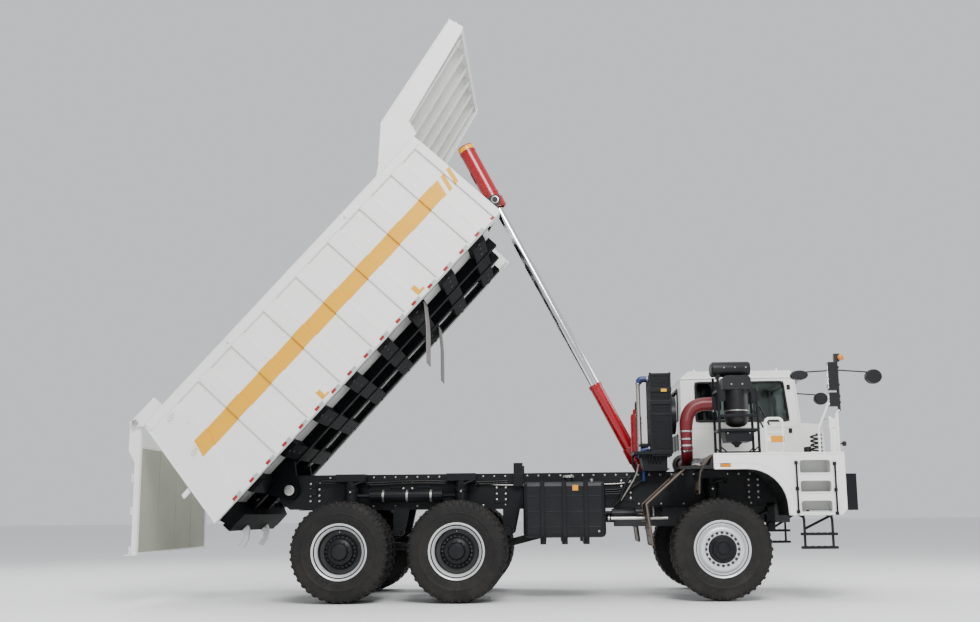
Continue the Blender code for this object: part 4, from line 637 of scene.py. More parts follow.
# %% A tyre
def tyre(y):
    """A tyre with its centre at the origin's height, width along Y, on a wheel centre given in place."""
    wall = [(0.335, 0.150), (0.345, 0.166), (0.362, 0.170), (0.380, 0.176), (0.384, 0.182),
        (0.392, 0.182), (0.397, 0.178), (0.430, 0.186), (0.470, 0.1905), (0.505, 0.1915), (0.510, 0.1945),
        (0.518, 0.1945), (0.523, 0.1905), (0.560, 0.188), (0.590, 0.186), (0.618, 0.184), (0.642, 0.176),
        (0.658, 0.158), (0.666, 0.130), (0.669, 0.06), (0.670, 0.0)]
    profile = [(-w, r) for r, w in wall] + [(w, r) for r, w in reversed(wall[:-1])]
    inside = [(0.150, 0.335), (-0.150, 0.335)]
    shape = bmesh.new()
    add_turned(shape, [(a, r) for a, r in profile + inside], (0, y, 0), (0, 1, 0), 96)
    bmesh.ops.remove_doubles(shape, verts=list(shape.verts), dist=1e-6)
    edges = [e for e in shape.edges if e.is_boundary]
    bmesh.ops.bridge_loops(shape, edges=edges)
    seed = bmesh.new()
    turn = 2 * math.pi / 42
    for side in (1, -1):
        path = [(0.006, 0.6845, 0.046), (0.085, 0.6842, 0.043), (0.150, 0.6790, 0.040),
            (0.1790, 0.6630, 0.036), (0.1880, 0.640, 0.030), (0.1900, 0.622, 0.022)]
        lower = [(0.006, 0.655), (0.085, 0.655), (0.145, 0.650), (0.168, 0.640), (0.180, 0.628),
            (0.186, 0.612)]
        start = 0.0 if side > 0 else turn / 2
        rows = []
        for k, ((w, r, broad), (wl, rl)) in enumerate(zip(path, lower)):
            sweep = start + 0.030 * k / 5
            row = []
            for radius, width, spread in ((rl, wl, broad * 1.12), (r, w, broad), (r, w, broad),
                    (rl, wl, broad * 1.12)):
                row.append([radius, width, spread])
            signs = (-1, -1, 1, 1)
            made = []
            for (radius, width, spread), sign in zip(row, signs):
                a = sweep + sign * spread / 2 / 0.68
                made.append(seed.verts.new((radius * math.sin(a), y + side * width, radius * math.cos(a))))
            rows.append(made)
        for first, second in zip(rows, rows[1:]):
            for i in range(3):
                seed.faces.new((first[i], first[i + 1], second[i + 1], second[i]))
            seed.faces.new((first[3], first[0], second[0], second[3]))
        seed.faces.new(rows[0])
        seed.faces.new(rows[-1])
    add_shape(shape, repeated(seed, RING, 42))
    marks = bmesh.new()
    for side in (1, -1):
        for r in (0.430, 0.545):
            add_block(marks, (r - 0.012, r + 0.012), sorted((y + side * 0.183, y + side * 0.1925)),
                (-0.004, 0.004))
    add_shape(shape, repeated(marks, RING, 36))
    return shape


def wheel_place(x):
    return Matrix.Translation((FX + x, 0, TYRE_R))


MIDDLE_X, REAR_X = -3.563, -5.153
FRONT_TYRE_Y = 1.364
OUTER_TYRE_Y = 1.510
INNER_TYRE_Y = 1.080
for side in (LEFT, RIGHT):
    where = SIDES[side]
    made = piece(f"{where} front tyre", tyre(side * FRONT_TYRE_Y), PAINT["tyre_rubber"],
        f"front_{where}_wheel", wheel_place(0), bevel=0.003, angle=30, segments=1)
    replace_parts(made, f"front_{where}_tyre")
    for axle, x in (("middle", MIDDLE_X), ("rear", REAR_X)):
        pair = tyre(side * OUTER_TYRE_Y)
        add_shape(pair, tyre(side * INNER_TYRE_Y))
        made = piece(f"{where} {axle} tyres", pair, PAINT["tyre_rubber"], f"{axle}_{where}_wheel",
            wheel_place(x), bevel=0.003, angle=30, segments=1)
        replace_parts(made, f"{axle}_{where}_tyres")
print("ten tyres with cleats")

# %% [markdown]
# ## Rims and hubs
# The front rim's disc stands proud, with a ring of nuts and a black hub in its middle. The rear rims
# are deep dishes. Each keeps its packed hub and gains a rolled lip, nuts and a cap.

# %% Front rims
def add_lip(shape, y, out, radius=0.352, deep=0.055):
    """The rolled silver edge and the sloped bead seat of a rim, seen from outside."""
    profile = [(-deep, radius - 0.046), (-deep * 0.6, radius - 0.030), (-0.016, radius - 0.012),
        (-0.004, radius + 0.002), (0.006, radius + 0.012), (0.012, radius + 0.020),
        (0.014, radius + 0.030), (0.008, radius + 0.034), (0.000, radius + 0.030),
        (-0.006, radius + 0.016), (-0.020, radius + 0.004), (-deep, radius - 0.004)]
    add_turned(shape, profile + profile[:1], (0, y, 0), (0, out, 0), 72)


for side in (LEFT, RIGHT):
    where, out = SIDES[side], side
    face = side * 1.554
    disc = bmesh.new()
    add_lip(disc, side * (1.364 + 0.172), out, 0.350)
    profile = [(-0.075, 0.340), (-0.070, 0.318), (-0.028, 0.300), (-0.006, 0.286), (0.000, 0.272),
        (0.000, 0.236), (-0.012, 0.228), (-0.014, 0.205), (-0.010, 0.190), (-0.010, 0.120)]
    add_turned(disc, profile, (0, face, 0), (0, out, 0), 72)
    piece(f"{where} front wheel disc", disc, PAINT["rim_silver"], f"front_{where}_wheel",
        wheel_place(0), bevel=0.002)
    hub = bmesh.new()
    profile = [(-0.020, 0.190), (0.004, 0.188), (0.010, 0.180), (0.018, 0.172), (0.020, 0.150),
        (0.052, 0.132), (0.062, 0.122), (0.064, 0.100), (0.050, 0.094), (0.050, 0.070), (0.066, 0.064),
        (0.068, 0.0)]
    add_turned(hub, profile, (0, face, 0), (0, out, 0), 48)
    add_shape(hub, bolt_ring(0.108, 10, 0.020, face + 0.064 * out, 0.010 * out, False))
    piece(f"{where} front hub", hub, PAINT["black_paint"], f"front_{where}_wheel",
        wheel_place(0), bevel=0.002)
    nuts = bolt_ring(0.222, 20, 0.030, face - 0.010 * out, 0.028 * out)
    piece(f"{where} front wheel nuts", nuts, PAINT["dark_rim"], f"front_{where}_wheel",
        wheel_place(0))

# %% Rear rims
for side in (LEFT, RIGHT):
    where, out = SIDES[side], side
    for axle, x in (("middle", MIDDLE_X), ("rear", REAR_X)):
        rim = bmesh.new()
        face = side * (1.510 + 0.170)
        add_lip(rim, face, out, 0.350)
        add_turned(rim, [(-0.045, 0.318), (-0.050, 0.306), (-0.085, 0.301)], (0, face, 0), (0, out, 0), 72)
        dish = bmesh.new()
        profile = [(-0.084, 0.3015), (-0.170, 0.296), (-0.182, 0.288), (-0.186, 0.262), (-0.190, 0.222)]
        add_turned(dish, profile, (0, face, 0), (0, out, 0), 72)
        piece(f"{where} {axle} dark dish", dish, PAINT["dark_rim"], f"{axle}_{where}_wheel",
            wheel_place(x))
        piece(f"{where} {axle} rim dish", rim, PAINT["rim_silver"], f"{axle}_{where}_wheel",
            wheel_place(x), bevel=0.002)
        hub = bmesh.new()
        profile = [(-0.192, 0.236), (-0.178, 0.234), (-0.172, 0.218), (-0.150, 0.205), (-0.142, 0.188),
            (-0.080, 0.172), (-0.062, 0.150), (-0.056, 0.118), (-0.030, 0.110), (-0.012, 0.098),
            (-0.006, 0.070), (-0.004, 0.0)]
        add_turned(hub, profile, (0, face, 0), (0, out, 0), 48)
        add_shape(hub, bolt_ring(0.132, 12, 0.022, face - 0.060 * out, 0.016 * out, False))
        piece(f"{where} {axle} hub cap", hub, PAINT["black_paint"], f"{axle}_{where}_wheel",
            wheel_place(x), bevel=0.002)
        nuts = bolt_ring(0.196, 22, 0.027, face - 0.148 * out, 0.026 * out)
        piece(f"{where} {axle} wheel nuts", nuts, PAINT["dark_rim"], f"{axle}_{where}_wheel",
            wheel_place(x))
        valve = bmesh.new()
        add_tube(valve, smooth_path([(0.0, face - 0.11 * out, 0.286), (0.0, face - 0.075 * out, 0.280),
            (0.0, face - 0.045 * out, 0.262)], 4), 0.006, 8)
        piece(f"{where} {axle} valve stem", valve, PAINT["zinc"], f"{axle}_{where}_wheel",
            wheel_place(x))
print("rims, nuts and hubs on six wheel sets")
# %% [markdown]
# ## The bed
# The bed is a ribbed steel box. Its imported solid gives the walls, ribs and rails. We add what a
# welder and a painter leave on it: rolled edge beads, weld lines beside each rib, reflective tape
# along the lower edge, lashing lugs, studs, and blank name plates.

# %% Ribs' weld lines and rolled beads
BED_HALF, SKIN = 1.740, 1.705
LOW, TOP = 0.253, 1.908
RIBS = [0.388 + 0.655 * i for i in range(6)] + [4.318]
LEAN = math.tan(math.radians(9.85))


def rear_edge(v):
    return -0.853 + (v - LOW) * LEAN


welds, beads, ribs_in = bmesh.new(), bmesh.new(), bmesh.new()
for side in (LEFT, RIGHT):
    for start in RIBS:
        for u in (start - 0.001, start + 0.244):
            add_tube(welds, [(u, side * (SKIN + 0.0005), LOW + 0.02),
                (u, side * (SKIN + 0.0005), TOP - 0.13)], 0.0065, 6)
        add_tube(beads, [(start + 0.03, side * (BED_HALF - 0.002), LOW + 0.045),
            (start + 0.03, side * (BED_HALF - 0.002), TOP - 0.14)], 0.005, 6)
        add_tube(beads, [(start + 0.213, side * (BED_HALF - 0.002), LOW + 0.045),
            (start + 0.213, side * (BED_HALF - 0.002), TOP - 0.14)], 0.005, 6)
    add_tube(welds, [(-0.60, side * (BED_HALF + 0.001), TOP - 0.125),
        (4.93, side * (BED_HALF + 0.001), TOP - 0.125)], 0.007, 6)
    add_tube(beads, [(rear_edge(TOP) + 0.03, side * (BED_HALF + 0.011), TOP + 0.005),
        (4.94, side * (BED_HALF + 0.011), TOP + 0.005)], 0.011, 8)
    edge = [(rear_edge(v) + 0.010, side * (BED_HALF - 0.004), v) for v in (LOW + 0.01, TOP - 0.05)]
    add_tube(beads, edge, 0.012, 8)
    add_block(ribs_in, (-0.70, 4.925), sorted((side * (SKIN - 0.01), side * (BED_HALF - 0.012))),
        (LOW + 0.003, LOW + 0.058))
piece("bed weld lines", welds, PAINT["bed_paint"], "bed", BED)
piece("bed rolled beads", beads, PAINT["bed_paint"], "bed", BED)
piece("bed lower sills", ribs_in, PAINT["white_paint"], "bed", BED, bevel=0.004)
print("ribs at", [round(r, 3) for r in RIBS])

# %% Reflective tape along the lower edge
silver, red = bmesh.new(), bmesh.new()
for side in (LEFT, RIGHT):
    for k in range(17):
        u = -0.46 + 0.327 * k
        on_rib = any(start - 0.12 < u < start + 0.25 for start in RIBS) or u < -0.25
        y = side * (BED_HALF + 0.0008 if on_rib else BED_HALF - 0.0112)
        add_block(red, (u, u + 0.078), sorted((y, y + side * 0.0016)), (LOW + 0.008, LOW + 0.050))
        add_block(silver, (u + 0.080, u + 0.158), sorted((y, y + side * 0.0016)), (LOW + 0.008, LOW + 0.050))
piece("bed tape silver", silver, PAINT["tape_silver"], "bed", BED)
piece("bed tape red", red, PAINT["tape_red"], "bed", BED)

# %% Lashing lugs, studs and blank plates
lugs, plates = bmesh.new(), bmesh.new()
for side in (LEFT, RIGHT):
    y = side * (BED_HALF + 0.012)
    for u in (1.059, 3.44):
        add_turned(lugs, [(0, 0), (0, 0.030), (0.012, 0.028), (0.016, 0.018), (0.030, 0.016),
            (0.034, 0.010), (0.034, 0)], (u, y, TOP - 0.06), (0, side, 0), 20)
    for u, v in ((-0.215, 1.709), (-0.332, 1.132)):
        ring = [(0.040 * math.cos(a) * 1.4,
            0.030 * math.sin(a)) for a in [2 * math.pi * i / 20 for i in range(21)]]
        add_tube(lugs, [(u + a, side * (BED_HALF + 0.022), v + b) for a, b in ring], 0.008, 8)
        add_block(lugs, (u - 0.045, u + 0.045), sorted((side * BED_HALF, side * (BED_HALF + 0.006))),
            (v - 0.016, v + 0.016))
        add_rod(lugs, (u, side * BED_HALF, v), (u, side * (BED_HALF + 0.024), v), 0.012, 12, 0.002)
    add_turned(lugs, [(0, 0), (0, 0.026), (0.008, 0.024), (0.010, 0.014), (0.020, 0.012), (0.020, 0)],
        (-0.105, side * BED_HALF, 1.482), (0, side, 0), 18)
    add_outline(lugs, [(-0.905, 0.80), (-0.78, 0.80), (-0.76, 0.86), (-0.885, 0.86)],
        *sorted((side * 1.680, side * 1.735)))
    for u, v in ((3.362, 0.379), (1.41, 0.363)):
        y = side * (SKIN + 0.001)
        add_block(plates, (u - 0.060, u + 0.010), sorted((y, y + side * 0.002)), (v - 0.020, v + 0.085))
        add_block(plates, (u - 0.060, u + 0.075), sorted((y, y + side * 0.002)), (v - 0.060, v - 0.022))
piece("bed lugs and studs", lugs, PAINT["white_paint"], "bed", BED, bevel=0.002)
piece("bed yellow labels", plates, PAINT["hoist_yellow"], "bed", BED)

# %% [markdown]
# ### Wear plates, canopy and underframe
# Inside, the floor is lined with wear plates whose joints show, and the corners are filled with
# sloped plates. Under the canopy each stiffener has an edge bead. Below the floor run the gussets,
# hoses and bolts that the raised bed lays bare.

# %% Inside of the bed and the front wall
inside = bmesh.new()
for k in range(6):
    u = 0.10 + 0.78 * k
    add_block(inside, (u, u + 0.765), (-1.50, -0.006), (0.4305, 0.4405))
    add_block(inside, (u, u + 0.765), (0.006, 1.50), (0.4305, 0.4405))
for side in (LEFT, RIGHT):
    corner = [(side * 1.50, 0.432), (side * 1.629, 0.432), (side * 1.629, 0.56)]
    add_outline(inside, corner, -0.50, 4.69, along="X")
for y in (-1.2, -0.72, -0.24, 0.24, 0.72, 1.2):
    add_outline(inside, [(4.761, 0.46), (4.835, 0.50), (4.835, 1.98), (4.761, 2.04)], y - 0.035, y + 0.035)
for v in (0.56, 1.30, 1.86):
    add_block(inside, (4.761, 4.815), (-1.44, 1.44), (v - 0.04, v + 0.04))
piece("bed lining and front ribs", inside, PAINT["bed_paint"], "bed", BED, bevel=0.003)

# %% Canopy beads, stiffener flanges and gussets
trim = bmesh.new()


def canopy_line(u):
    return 2.405 + (u - 4.794) * (2.709 - 2.405) / (6.524 - 4.794)


for side in (LEFT, RIGHT):
    edge = [(4.335, side * 1.752, 2.032), (4.794, side * 1.752, 2.405), (6.524, side * 1.752, 2.709)]
    for a, b in zip(edge, edge[1:]):
        add_tube(trim, [a, b], 0.012, 8)
    add_tube(trim, [(4.17, side * 1.750, TOP + 0.018), (5.0, side * 1.750, TOP + 0.018)], 0.008, 6)
    add_tube(trim, [(5.01, side * 1.750, 1.95), (5.062, side * 1.750, 2.132),
        (6.573, side * 1.750, 2.472)], 0.010, 8)
for i in range(6):
    y = -1.45 + 2.9 * i / 5
    low = [(4.764, 2.120), (6.50, 2.478), (6.50, 2.488), (4.764, 2.130)]
    add_outline(trim, low, y - 0.055, y + 0.055)
for i in range(5):
    y = -1.16 + 2.32 * i / 4
    for u in (5.2, 5.9):
        add_block(trim, (u, u + 0.012), (y - 0.26, y + 0.26),
            (canopy_line(u) - 0.115, canopy_line(u) - 0.034))
add_tube(trim, [(6.60, -1.73, 2.62), (6.60, 1.73, 2.62)], 0.020, 12)
piece("canopy stiffener flanges", trim, PAINT["white_paint"], "bed", BED, bevel=0.002)

# %% Underframe gussets, bolts and hose
under = bmesh.new()
for side in (LEFT, RIGHT):
    for start in [0.388 + 0.655 * i for i in range(-1, 7)]:
        for u in (start + 0.02, start + 0.205):
            gusset = [(side * 0.503, 0.368), (side * 0.503, 0.240), (side * 0.62, 0.30), (side * 0.70, 0.368)]
            add_outline(under, gusset, u, u + 0.012, along="X")
            gusset = [(side * 1.485, 0.30), (side * 1.485, 0.368), (side * 1.33, 0.368), (side * 1.40, 0.30)]
            add_outline(under, gusset, u, u + 0.012, along="X")
    for u in (-0.42, -0.05, 0.40):
        add_block(under, (u, u + 0.05), sorted((side * 0.60, side * 0.72)), (0.235, 0.30))
add_tube(under, [(-0.70, 1.1, 0.290), (4.6, 1.1, 0.290)], 0.014, 8)
piece("underframe gussets and runners", under, PAINT["under_black"], "bed", BED, bevel=0.002)
rivets = bolt_row((0.34, -1.42, 0.212), (0.655, 0, 0), 7, 0.030, 0.014, (0, 0, -1))
for y in (-1.15, -0.80, 0.80, 1.15, 1.42):
    add_shape(rivets, bolt_row((0.34, y, 0.212), (0.655, 0, 0), 7, 0.030, 0.014, (0, 0, -1)))
piece("underframe bolts", rivets, PAINT["engine_grey"], "bed",
    BED @ Matrix.Translation((0.17, 0, 0.021)))

# %% Latch hooks in silver, and the hinge's end plates
hooks = bmesh.new()
plumb = HINGE + Vector((-0.835 * math.cos(BED_ANGLE) - 0.110 * math.sin(BED_ANGLE), 0,
    -0.835 * math.sin(BED_ANGLE) + 0.110 * math.cos(BED_ANGLE)))
print("latch hooks hang at", [round(c, 3) for c in plumb])
hook = [(-0.045, 0.045), (0.050, 0.045), (0.075, -0.02), (0.070, -0.10), (0.060, -0.17), (0.0, -0.27),
    (-0.075, -0.245), (-0.045, -0.20), (-0.005, -0.16), (0.0, -0.08), (-0.05, -0.03)]
silver = bmesh.new()
for side in (LEFT, RIGHT):
    add_outline(silver, [(x * 1.05, z * 1.02) for x, z in hook], side * 0.59 - 0.038, side * 0.59 + 0.038)
piece("latch hooks", silver, PAINT["rim_silver"], "bed", Matrix.Translation(plumb),
    bevel=0.004)
for side in (LEFT, RIGHT):
    for face in (0.038, -0.038):
        y = side * 0.59 + face
        add_turned(hooks, [(0, 0), (0, 0.030), (0.010, 0.028), (0.014, 0.018), (0.014, 0)], (0, y, 0),
            (0, 1 if face > 0 else -1, 0), 20)
piece("latch hook pivots", hooks, PAINT["zinc"], "bed", Matrix.Translation(plumb))
caps = bmesh.new()
for side in (LEFT, RIGHT):
    add_turned(caps, [(0, 0.0), (0, 0.075), (0.010, 0.075), (0.014, 0.060), (0.014, 0.030),
        (0.026, 0.026), (0.026, 0)], (0, side * 0.613, 0), (0, side, 0), 32)
    add_shape(caps, bolt_ring(0.050, 6, 0.016, side * 0.626, side * 0.010, False))
piece("bed hinge pin caps", caps, PAINT["zinc"], "bed", Matrix.Translation(HINGE))

# %% [markdown]
# ## The tailgate
# The gate hangs plumb from two pins. Its packed channels and plate stay. We add the flanged cross
# beams behind it, an olive panel on the face towards the load, pin collars and bump pads.

# %% Tailgate
GATE = Matrix.Translation(GATE_PIN)
panel = bmesh.new()
for k in range(4):
    y = -1.16 + 0.775 * k
    add_block(panel, (0.0485, 0.0535), (y - 0.382, y + 0.382), (-1.760, -0.34))
piece("tailgate inner panels", panel, PAINT["olive_primer"], "tailgate", GATE, bevel=0.002)
gate = bmesh.new()
for z in (-0.75, -1.20, -1.735):
    for dz in (-0.052, 0.046):
        add_block(gate, (-0.075, -0.045), (-1.60, 1.60), (z + dz - 0.002, z + dz + 0.008))
for y in (-1.20, -0.60, 0.0, 0.60, 1.20):
    add_outline(gate, [(-0.052, -0.30), (0.001, -0.30), (0.001, -1.75), (-0.030, -1.75), (-0.052, -1.70)],
        y - 0.012, y + 0.012)
for side in (LEFT, RIGHT):
    add_turned(gate, [(0, 0.034), (0, 0.060), (0.012, 0.058), (0.016, 0.046), (0.016, 0.034)],
        (0, side * 1.6535, 0), (0, side, 0), 28)
    add_tube(gate, [(0.055, side * 1.652, -0.06), (0.055, side * 1.652, -1.78)], 0.008, 8)
    add_tube(gate, [(-0.006, side * 1.652, -0.56), (-0.006, side * 1.652, -1.78)], 0.008, 8)
    add_block(gate, (-0.095, 0.050), sorted((side * 1.56, side * 1.66)), (-1.800, -1.786))
piece("tailgate beams and collars", gate, PAINT["white_paint"], "tailgate", GATE, bevel=0.003)
lights = bmesh.new()
for side in (LEFT, RIGHT):
    add_block(lights, (-0.118, -0.098), sorted((side * 1.10, side * 1.52)), (-0.35, -0.23))
piece("tailgate reflectors", lights, PAINT["red_lens"], "tailgate", GATE, bevel=0.006)
caps = bmesh.new()
for side in (LEFT, RIGHT):
    add_turned(caps, [(0, 0), (0, 0.046), (0.010, 0.046), (0.014, 0.036), (0.014, 0)],
        (0, side * 1.729, 0), (0, side, 0), 24)
    add_shape(caps, bolt_ring(0.0, 1, 0.026, side * 1.740, side * 0.012, False))
piece("tailgate pin caps", caps, PAINT["zinc"], "bed", GATE)
print("tailgate dressed")
# %% [markdown]
# ## The hoist
# Its cylinder is in four moving lengths. Every length has a gland at its mouth: a gold ring and a
# black wiper. The red base has a collar with grease nipples, and the cover has a yellow dome with a
# bleed valve.

# %% Glands, collar and dome
BARREL_TOP = 1.757
GLANDS = [("hoist_barrel", 0.0, 0.101, 0.085), ("hoist_stage_1", 1, 0.085, 0.076),
    ("hoist_stage_2", 2, 0.076, 0.067), ("hoist_stage_3", 3, 0.067, 0.058)]
STROKE = 1.046637
across = HOIST_AXIS.cross(Vector((0, 1, 0))).normalized()
HOIST = Matrix.Translation(HOIST_PIVOT) @ Matrix((
    (-across.x, 0, HOIST_AXIS.x), (0, 1, 0), (-across.z, 0, HOIST_AXIS.z))).to_4x4()
for body, k, outer, inner in GLANDS:
    top = BARREL_TOP + 0.008 * k + STROKE * k
    ring, wiper = bmesh.new(), bmesh.new()
    foot = -0.050 if k == 0 else -0.0045
    add_turned(ring, [(foot, outer - 0.001), (foot, outer + 0.003), (-0.0005, outer + 0.003),
        (0.0006, outer - 0.002), (0.0006, inner + 0.005)], (0, 0, top), (0, 0, 1), 40)
    add_turned(wiper, [(0.0002, inner + 0.005), (0.0020, inner + 0.0045), (0.0025, inner + 0.002),
        (0.0025, inner + 0.0004), (0.0002, inner + 0.0004)], (0, 0, top), (0, 0, 1), 40)
    piece(f"{body} gland ring", ring, PAINT["hoist_red" if k == 0 else "zinc"], body,
        HOIST)
    piece(f"{body} wiper", wiper, PAINT["black_hose"], body, HOIST)
base = bmesh.new()
add_turned(base, [(0.46, 0.0955), (0.46, 0.106), (0.475, 0.110), (0.675, 0.110), (0.69, 0.106),
    (0.69, 0.0955)], (0, 0, 0), (0, 0, 1), 40)
add_turned(base, [(0.12, 0.0955), (0.12, 0.104), (0.24, 0.104), (0.25, 0.0955)], (0, 0, 0), (0, 0, 1), 40)
for y in (-0.134, 0.134):
    add_turned(base, [(-0.004, 0.043), (-0.004, 0.070), (0.008, 0.066), (0.008, 0.043)], (0, y, 0),
        (0, math.copysign(1, y), 0), 28)
piece("hoist base collar", base, PAINT["hoist_red"], "hoist_barrel", HOIST, bevel=0.002)
port = bmesh.new()
add_rod(port, (0.09, 0, 0.35), (0.150, 0, 0.35), 0.026, 6, 0.003)
add_rod(port, (0.150, 0, 0.35), (0.175, 0, 0.35), 0.020, 16, 0.003)
for z in (0.52, 0.62):
    add_rod(port, (0.105, 0.03, z), (0.128, 0.034, z), 0.007, 8, 0.002)
piece("hoist oil port", port, PAINT["zinc"], "hoist_barrel", HOIST)
COVER_FOOT = 0.770166 + 4 * STROKE


def smooth_part(node, profile, finish, cross, body=None):
    """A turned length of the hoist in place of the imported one.

    Each cross tube is given as (half, start, inner, radius, height).
    """
    shape = bmesh.new()
    add_turned(shape, profile, (0, 0, 0), (0, 0, 1), 64)
    for half, start, inner, radius, height in cross:
        for low, high in ((-half, -start), (start, half)):
            ring = [(low, inner), (low, radius), (high, radius), (high, inner), (low, inner)]
            add_turned(shape, ring, (0, 0, height), (0, 1, 0), 48)
    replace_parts(piece(f"{node} smooth", shape, PAINT[finish], body or node, HOIST, angle=30), node)


smooth_part("hoist_base", [(0.045, 0), (0.050, 0.075), (0.10, 0.091), (0.15, 0.095), (1.706, 0.095),
    (1.707, 0.101), (1.757, 0.101), (1.757, 0.0853), (1.707, 0.0853), (1.707, 0.087), (0.20, 0.087),
    (0.20, 0)], "hoist_red", [(0.13, 0.0, 0.0402, 0.085, 0.0)], "hoist_barrel")
for k, (outer, inner, gland) in enumerate(((0.085, 0.078, 0.0763), (0.076, 0.069, 0.0673),
        (0.067, 0.060, 0.0583)), 1):
    low, high = 0.215 + 0.008 * k + STROKE * k, 1.757 + 0.008 * k + STROKE * k
    smooth_part(f"hoist_stage_{k}", [(low, inner), (low, outer), (high - 0.003, outer),
        (high, outer - 0.002), (high, gland), (high - 0.05, gland), (high - 0.05, inner), (low, inner)],
        "chrome", [])
cover_line = [(-0.4952, 0), (-0.4952, 0.058), (1.020, 0.058), (1.020, 0.110), (-0.085, 0.110),
    (-0.085, 0.125), (-0.075, 0.125), (-0.075, 0.145), (0.075, 0.145), (0.075, 0.125), (1.038, 0.125),
    (1.050, 0.115), (1.050, 0)]
smooth_part("hoist_cover", [(COVER_FOOT + a, r) for a, r in cover_line], "hoist_red",
    [(0.165, 0.125, 0.030, 0.055, COVER_FOOT)])
rod_face = bmesh.new()
add_turned(rod_face, [(-0.4953, 0.0), (-0.4953, 0.0581), (-0.08, 0.0581)], (0, 0, COVER_FOOT), (0, 0, 1), 64)
piece("hoist inner rod", rod_face, PAINT["chrome"], "hoist_cover", HOIST)
dome = bmesh.new()
add_turned(dome, [(0.965, 0.1262), (0.972, 0.1285), (1.020, 0.1285), (1.040, 0.120), (1.056, 0.098),
    (1.066, 0.060), (1.069, 0.0)], (0, 0, COVER_FOOT), (0, 0, 1), 48)
piece("hoist cover dome", dome, PAINT["hoist_yellow"], "hoist_cover", HOIST)
cover = bmesh.new()
add_turned(cover, [(-0.085, 0.1262), (-0.085, 0.133), (-0.060, 0.133), (-0.052, 0.1262)],
    (0, 0, COVER_FOOT), (0, 0, 1), 48)
add_turned(cover, [(0.16, 0.1262), (0.16, 0.131), (0.185, 0.131), (0.19, 0.1262)], (0, 0, COVER_FOOT),
    (0, 0, 1), 48)
add_turned(cover, [(0.925, 0.1262), (0.925, 0.131), (0.955, 0.131), (0.96, 0.1262)], (0, 0, COVER_FOOT),
    (0, 0, 1), 48)
for side in (LEFT, RIGHT):
    add_turned(cover, [(0.0, 0.085), (0.004, 0.080), (0.016, 0.066), (0.018, 0.056)],
        (0, side * 0.140, COVER_FOOT), (0, side, 0), 32)
    for dz in (-0.05, 0.05):
        for x in (-0.150, 0.138):
            add_block(cover, (x, x + 0.012), sorted((side * 0.020, side * 0.028)),
                (COVER_FOOT + dz - 0.004, COVER_FOOT + dz + 0.004))
piece("hoist cover bands", cover, PAINT["hoist_red"], "hoist_cover", HOIST, bevel=0.002)
valve = bmesh.new()
add_rod(valve, (0, 0, COVER_FOOT + 1.066), (0, 0, COVER_FOOT + 1.088), 0.016, 6, 0.003)
piece("hoist bleed valve", valve, PAINT["zinc"], "hoist_cover", HOIST)
plate = bmesh.new()
add_block(plate, (-0.1282, -0.1262), (-0.045, 0.045), (COVER_FOOT + 0.42, COVER_FOOT + 0.62))
piece("hoist blank plate", plate, PAINT["black_plastic"], "hoist_cover", HOIST)
pins = bmesh.new()
TRUNNION = Vector((5.274, 0, 0.750))
for side in (LEFT, RIGHT):
    add_turned(pins, [(0, 0), (0, 0.062), (0.010, 0.060), (0.014, 0.044), (0.014, 0)],
        (TRUNNION.x, side * 0.2605, TRUNNION.z), (0, side, 0), 28)
    add_turned(pins, collar(0.047, 0.075, 0.008), (TRUNNION.x, side * 0.1905, TRUNNION.z), (0, side, 0), 28)
    add_block(pins, (4.808, 4.83), sorted((side * 0.27, side * 0.335)), (0.56, 0.94))
piece("trunnion pin plates", pins, PAINT["zinc"], "bed", BED, bevel=0.002)
print("hoist dressed along", [round(c, 3) for c in HOIST_AXIS])
# %% [markdown]
# ## Frame, suspension and tanks
# The frame's rails are bolted all along. Between the rear wheels stand gas struts with hoses, torque
# rods and brake chambers. The fuel tank hangs in three straps, and pipes and hoses run to the front.

# %% Bolts and flanges along the rails
rails = bmesh.new()
for side in (LEFT, RIGHT):
    y = side * 0.5
    add_block(rails, (-5.95, 0.78), sorted((y - side * 0.09, y + side * 0.012)), (1.247, 1.258))
    for x in (-4.36, -3.0, -1.2, 0.62):
        add_block(rails, (x - 0.10, x + 0.10), sorted((y, y + side * 0.010)), (1.33, 1.68))
    for x in (-4.62, -4.22, -3.06):
        add_outline(rails, [(x, 1.63), (x + 0.10, 1.72), (x + 0.20, 1.63), (x + 0.20, 1.56), (x, 1.56)],
            *sorted((y, y + side * 0.022)))
piece("rail plates", rails, PAINT["black_paint"], "chassis", bevel=0.003)
heads = bmesh.new()
for side in (LEFT, RIGHT):
    y = side * 0.5
    for x in (-5.72, -4.36, -3.0, -1.2, 0.62):
        for z in (1.38, 1.46, 1.55, 1.63):
            for dx in (-0.065, 0.065):
                add_turned(heads, [(0, 0), (0, 0.017), (0.012, 0.016), (0.014, 0.012), (0.014, 0)],
                    (x + dx, y + side * 0.010, z), (0, side, 0), 6)
    add_shape(heads, bolt_row((-5.50, y, 1.715), (0.16, 0, 0), 42, 0.020, 0.010, (0, side, 0)))
    add_shape(heads, bolt_row((-5.50, y, 1.30), (0.32, 0, 0), 20, 0.020, 0.010, (0, side, 0)))
piece("rail bolts", heads, PAINT["zinc"], "chassis")
print("rails bolted")

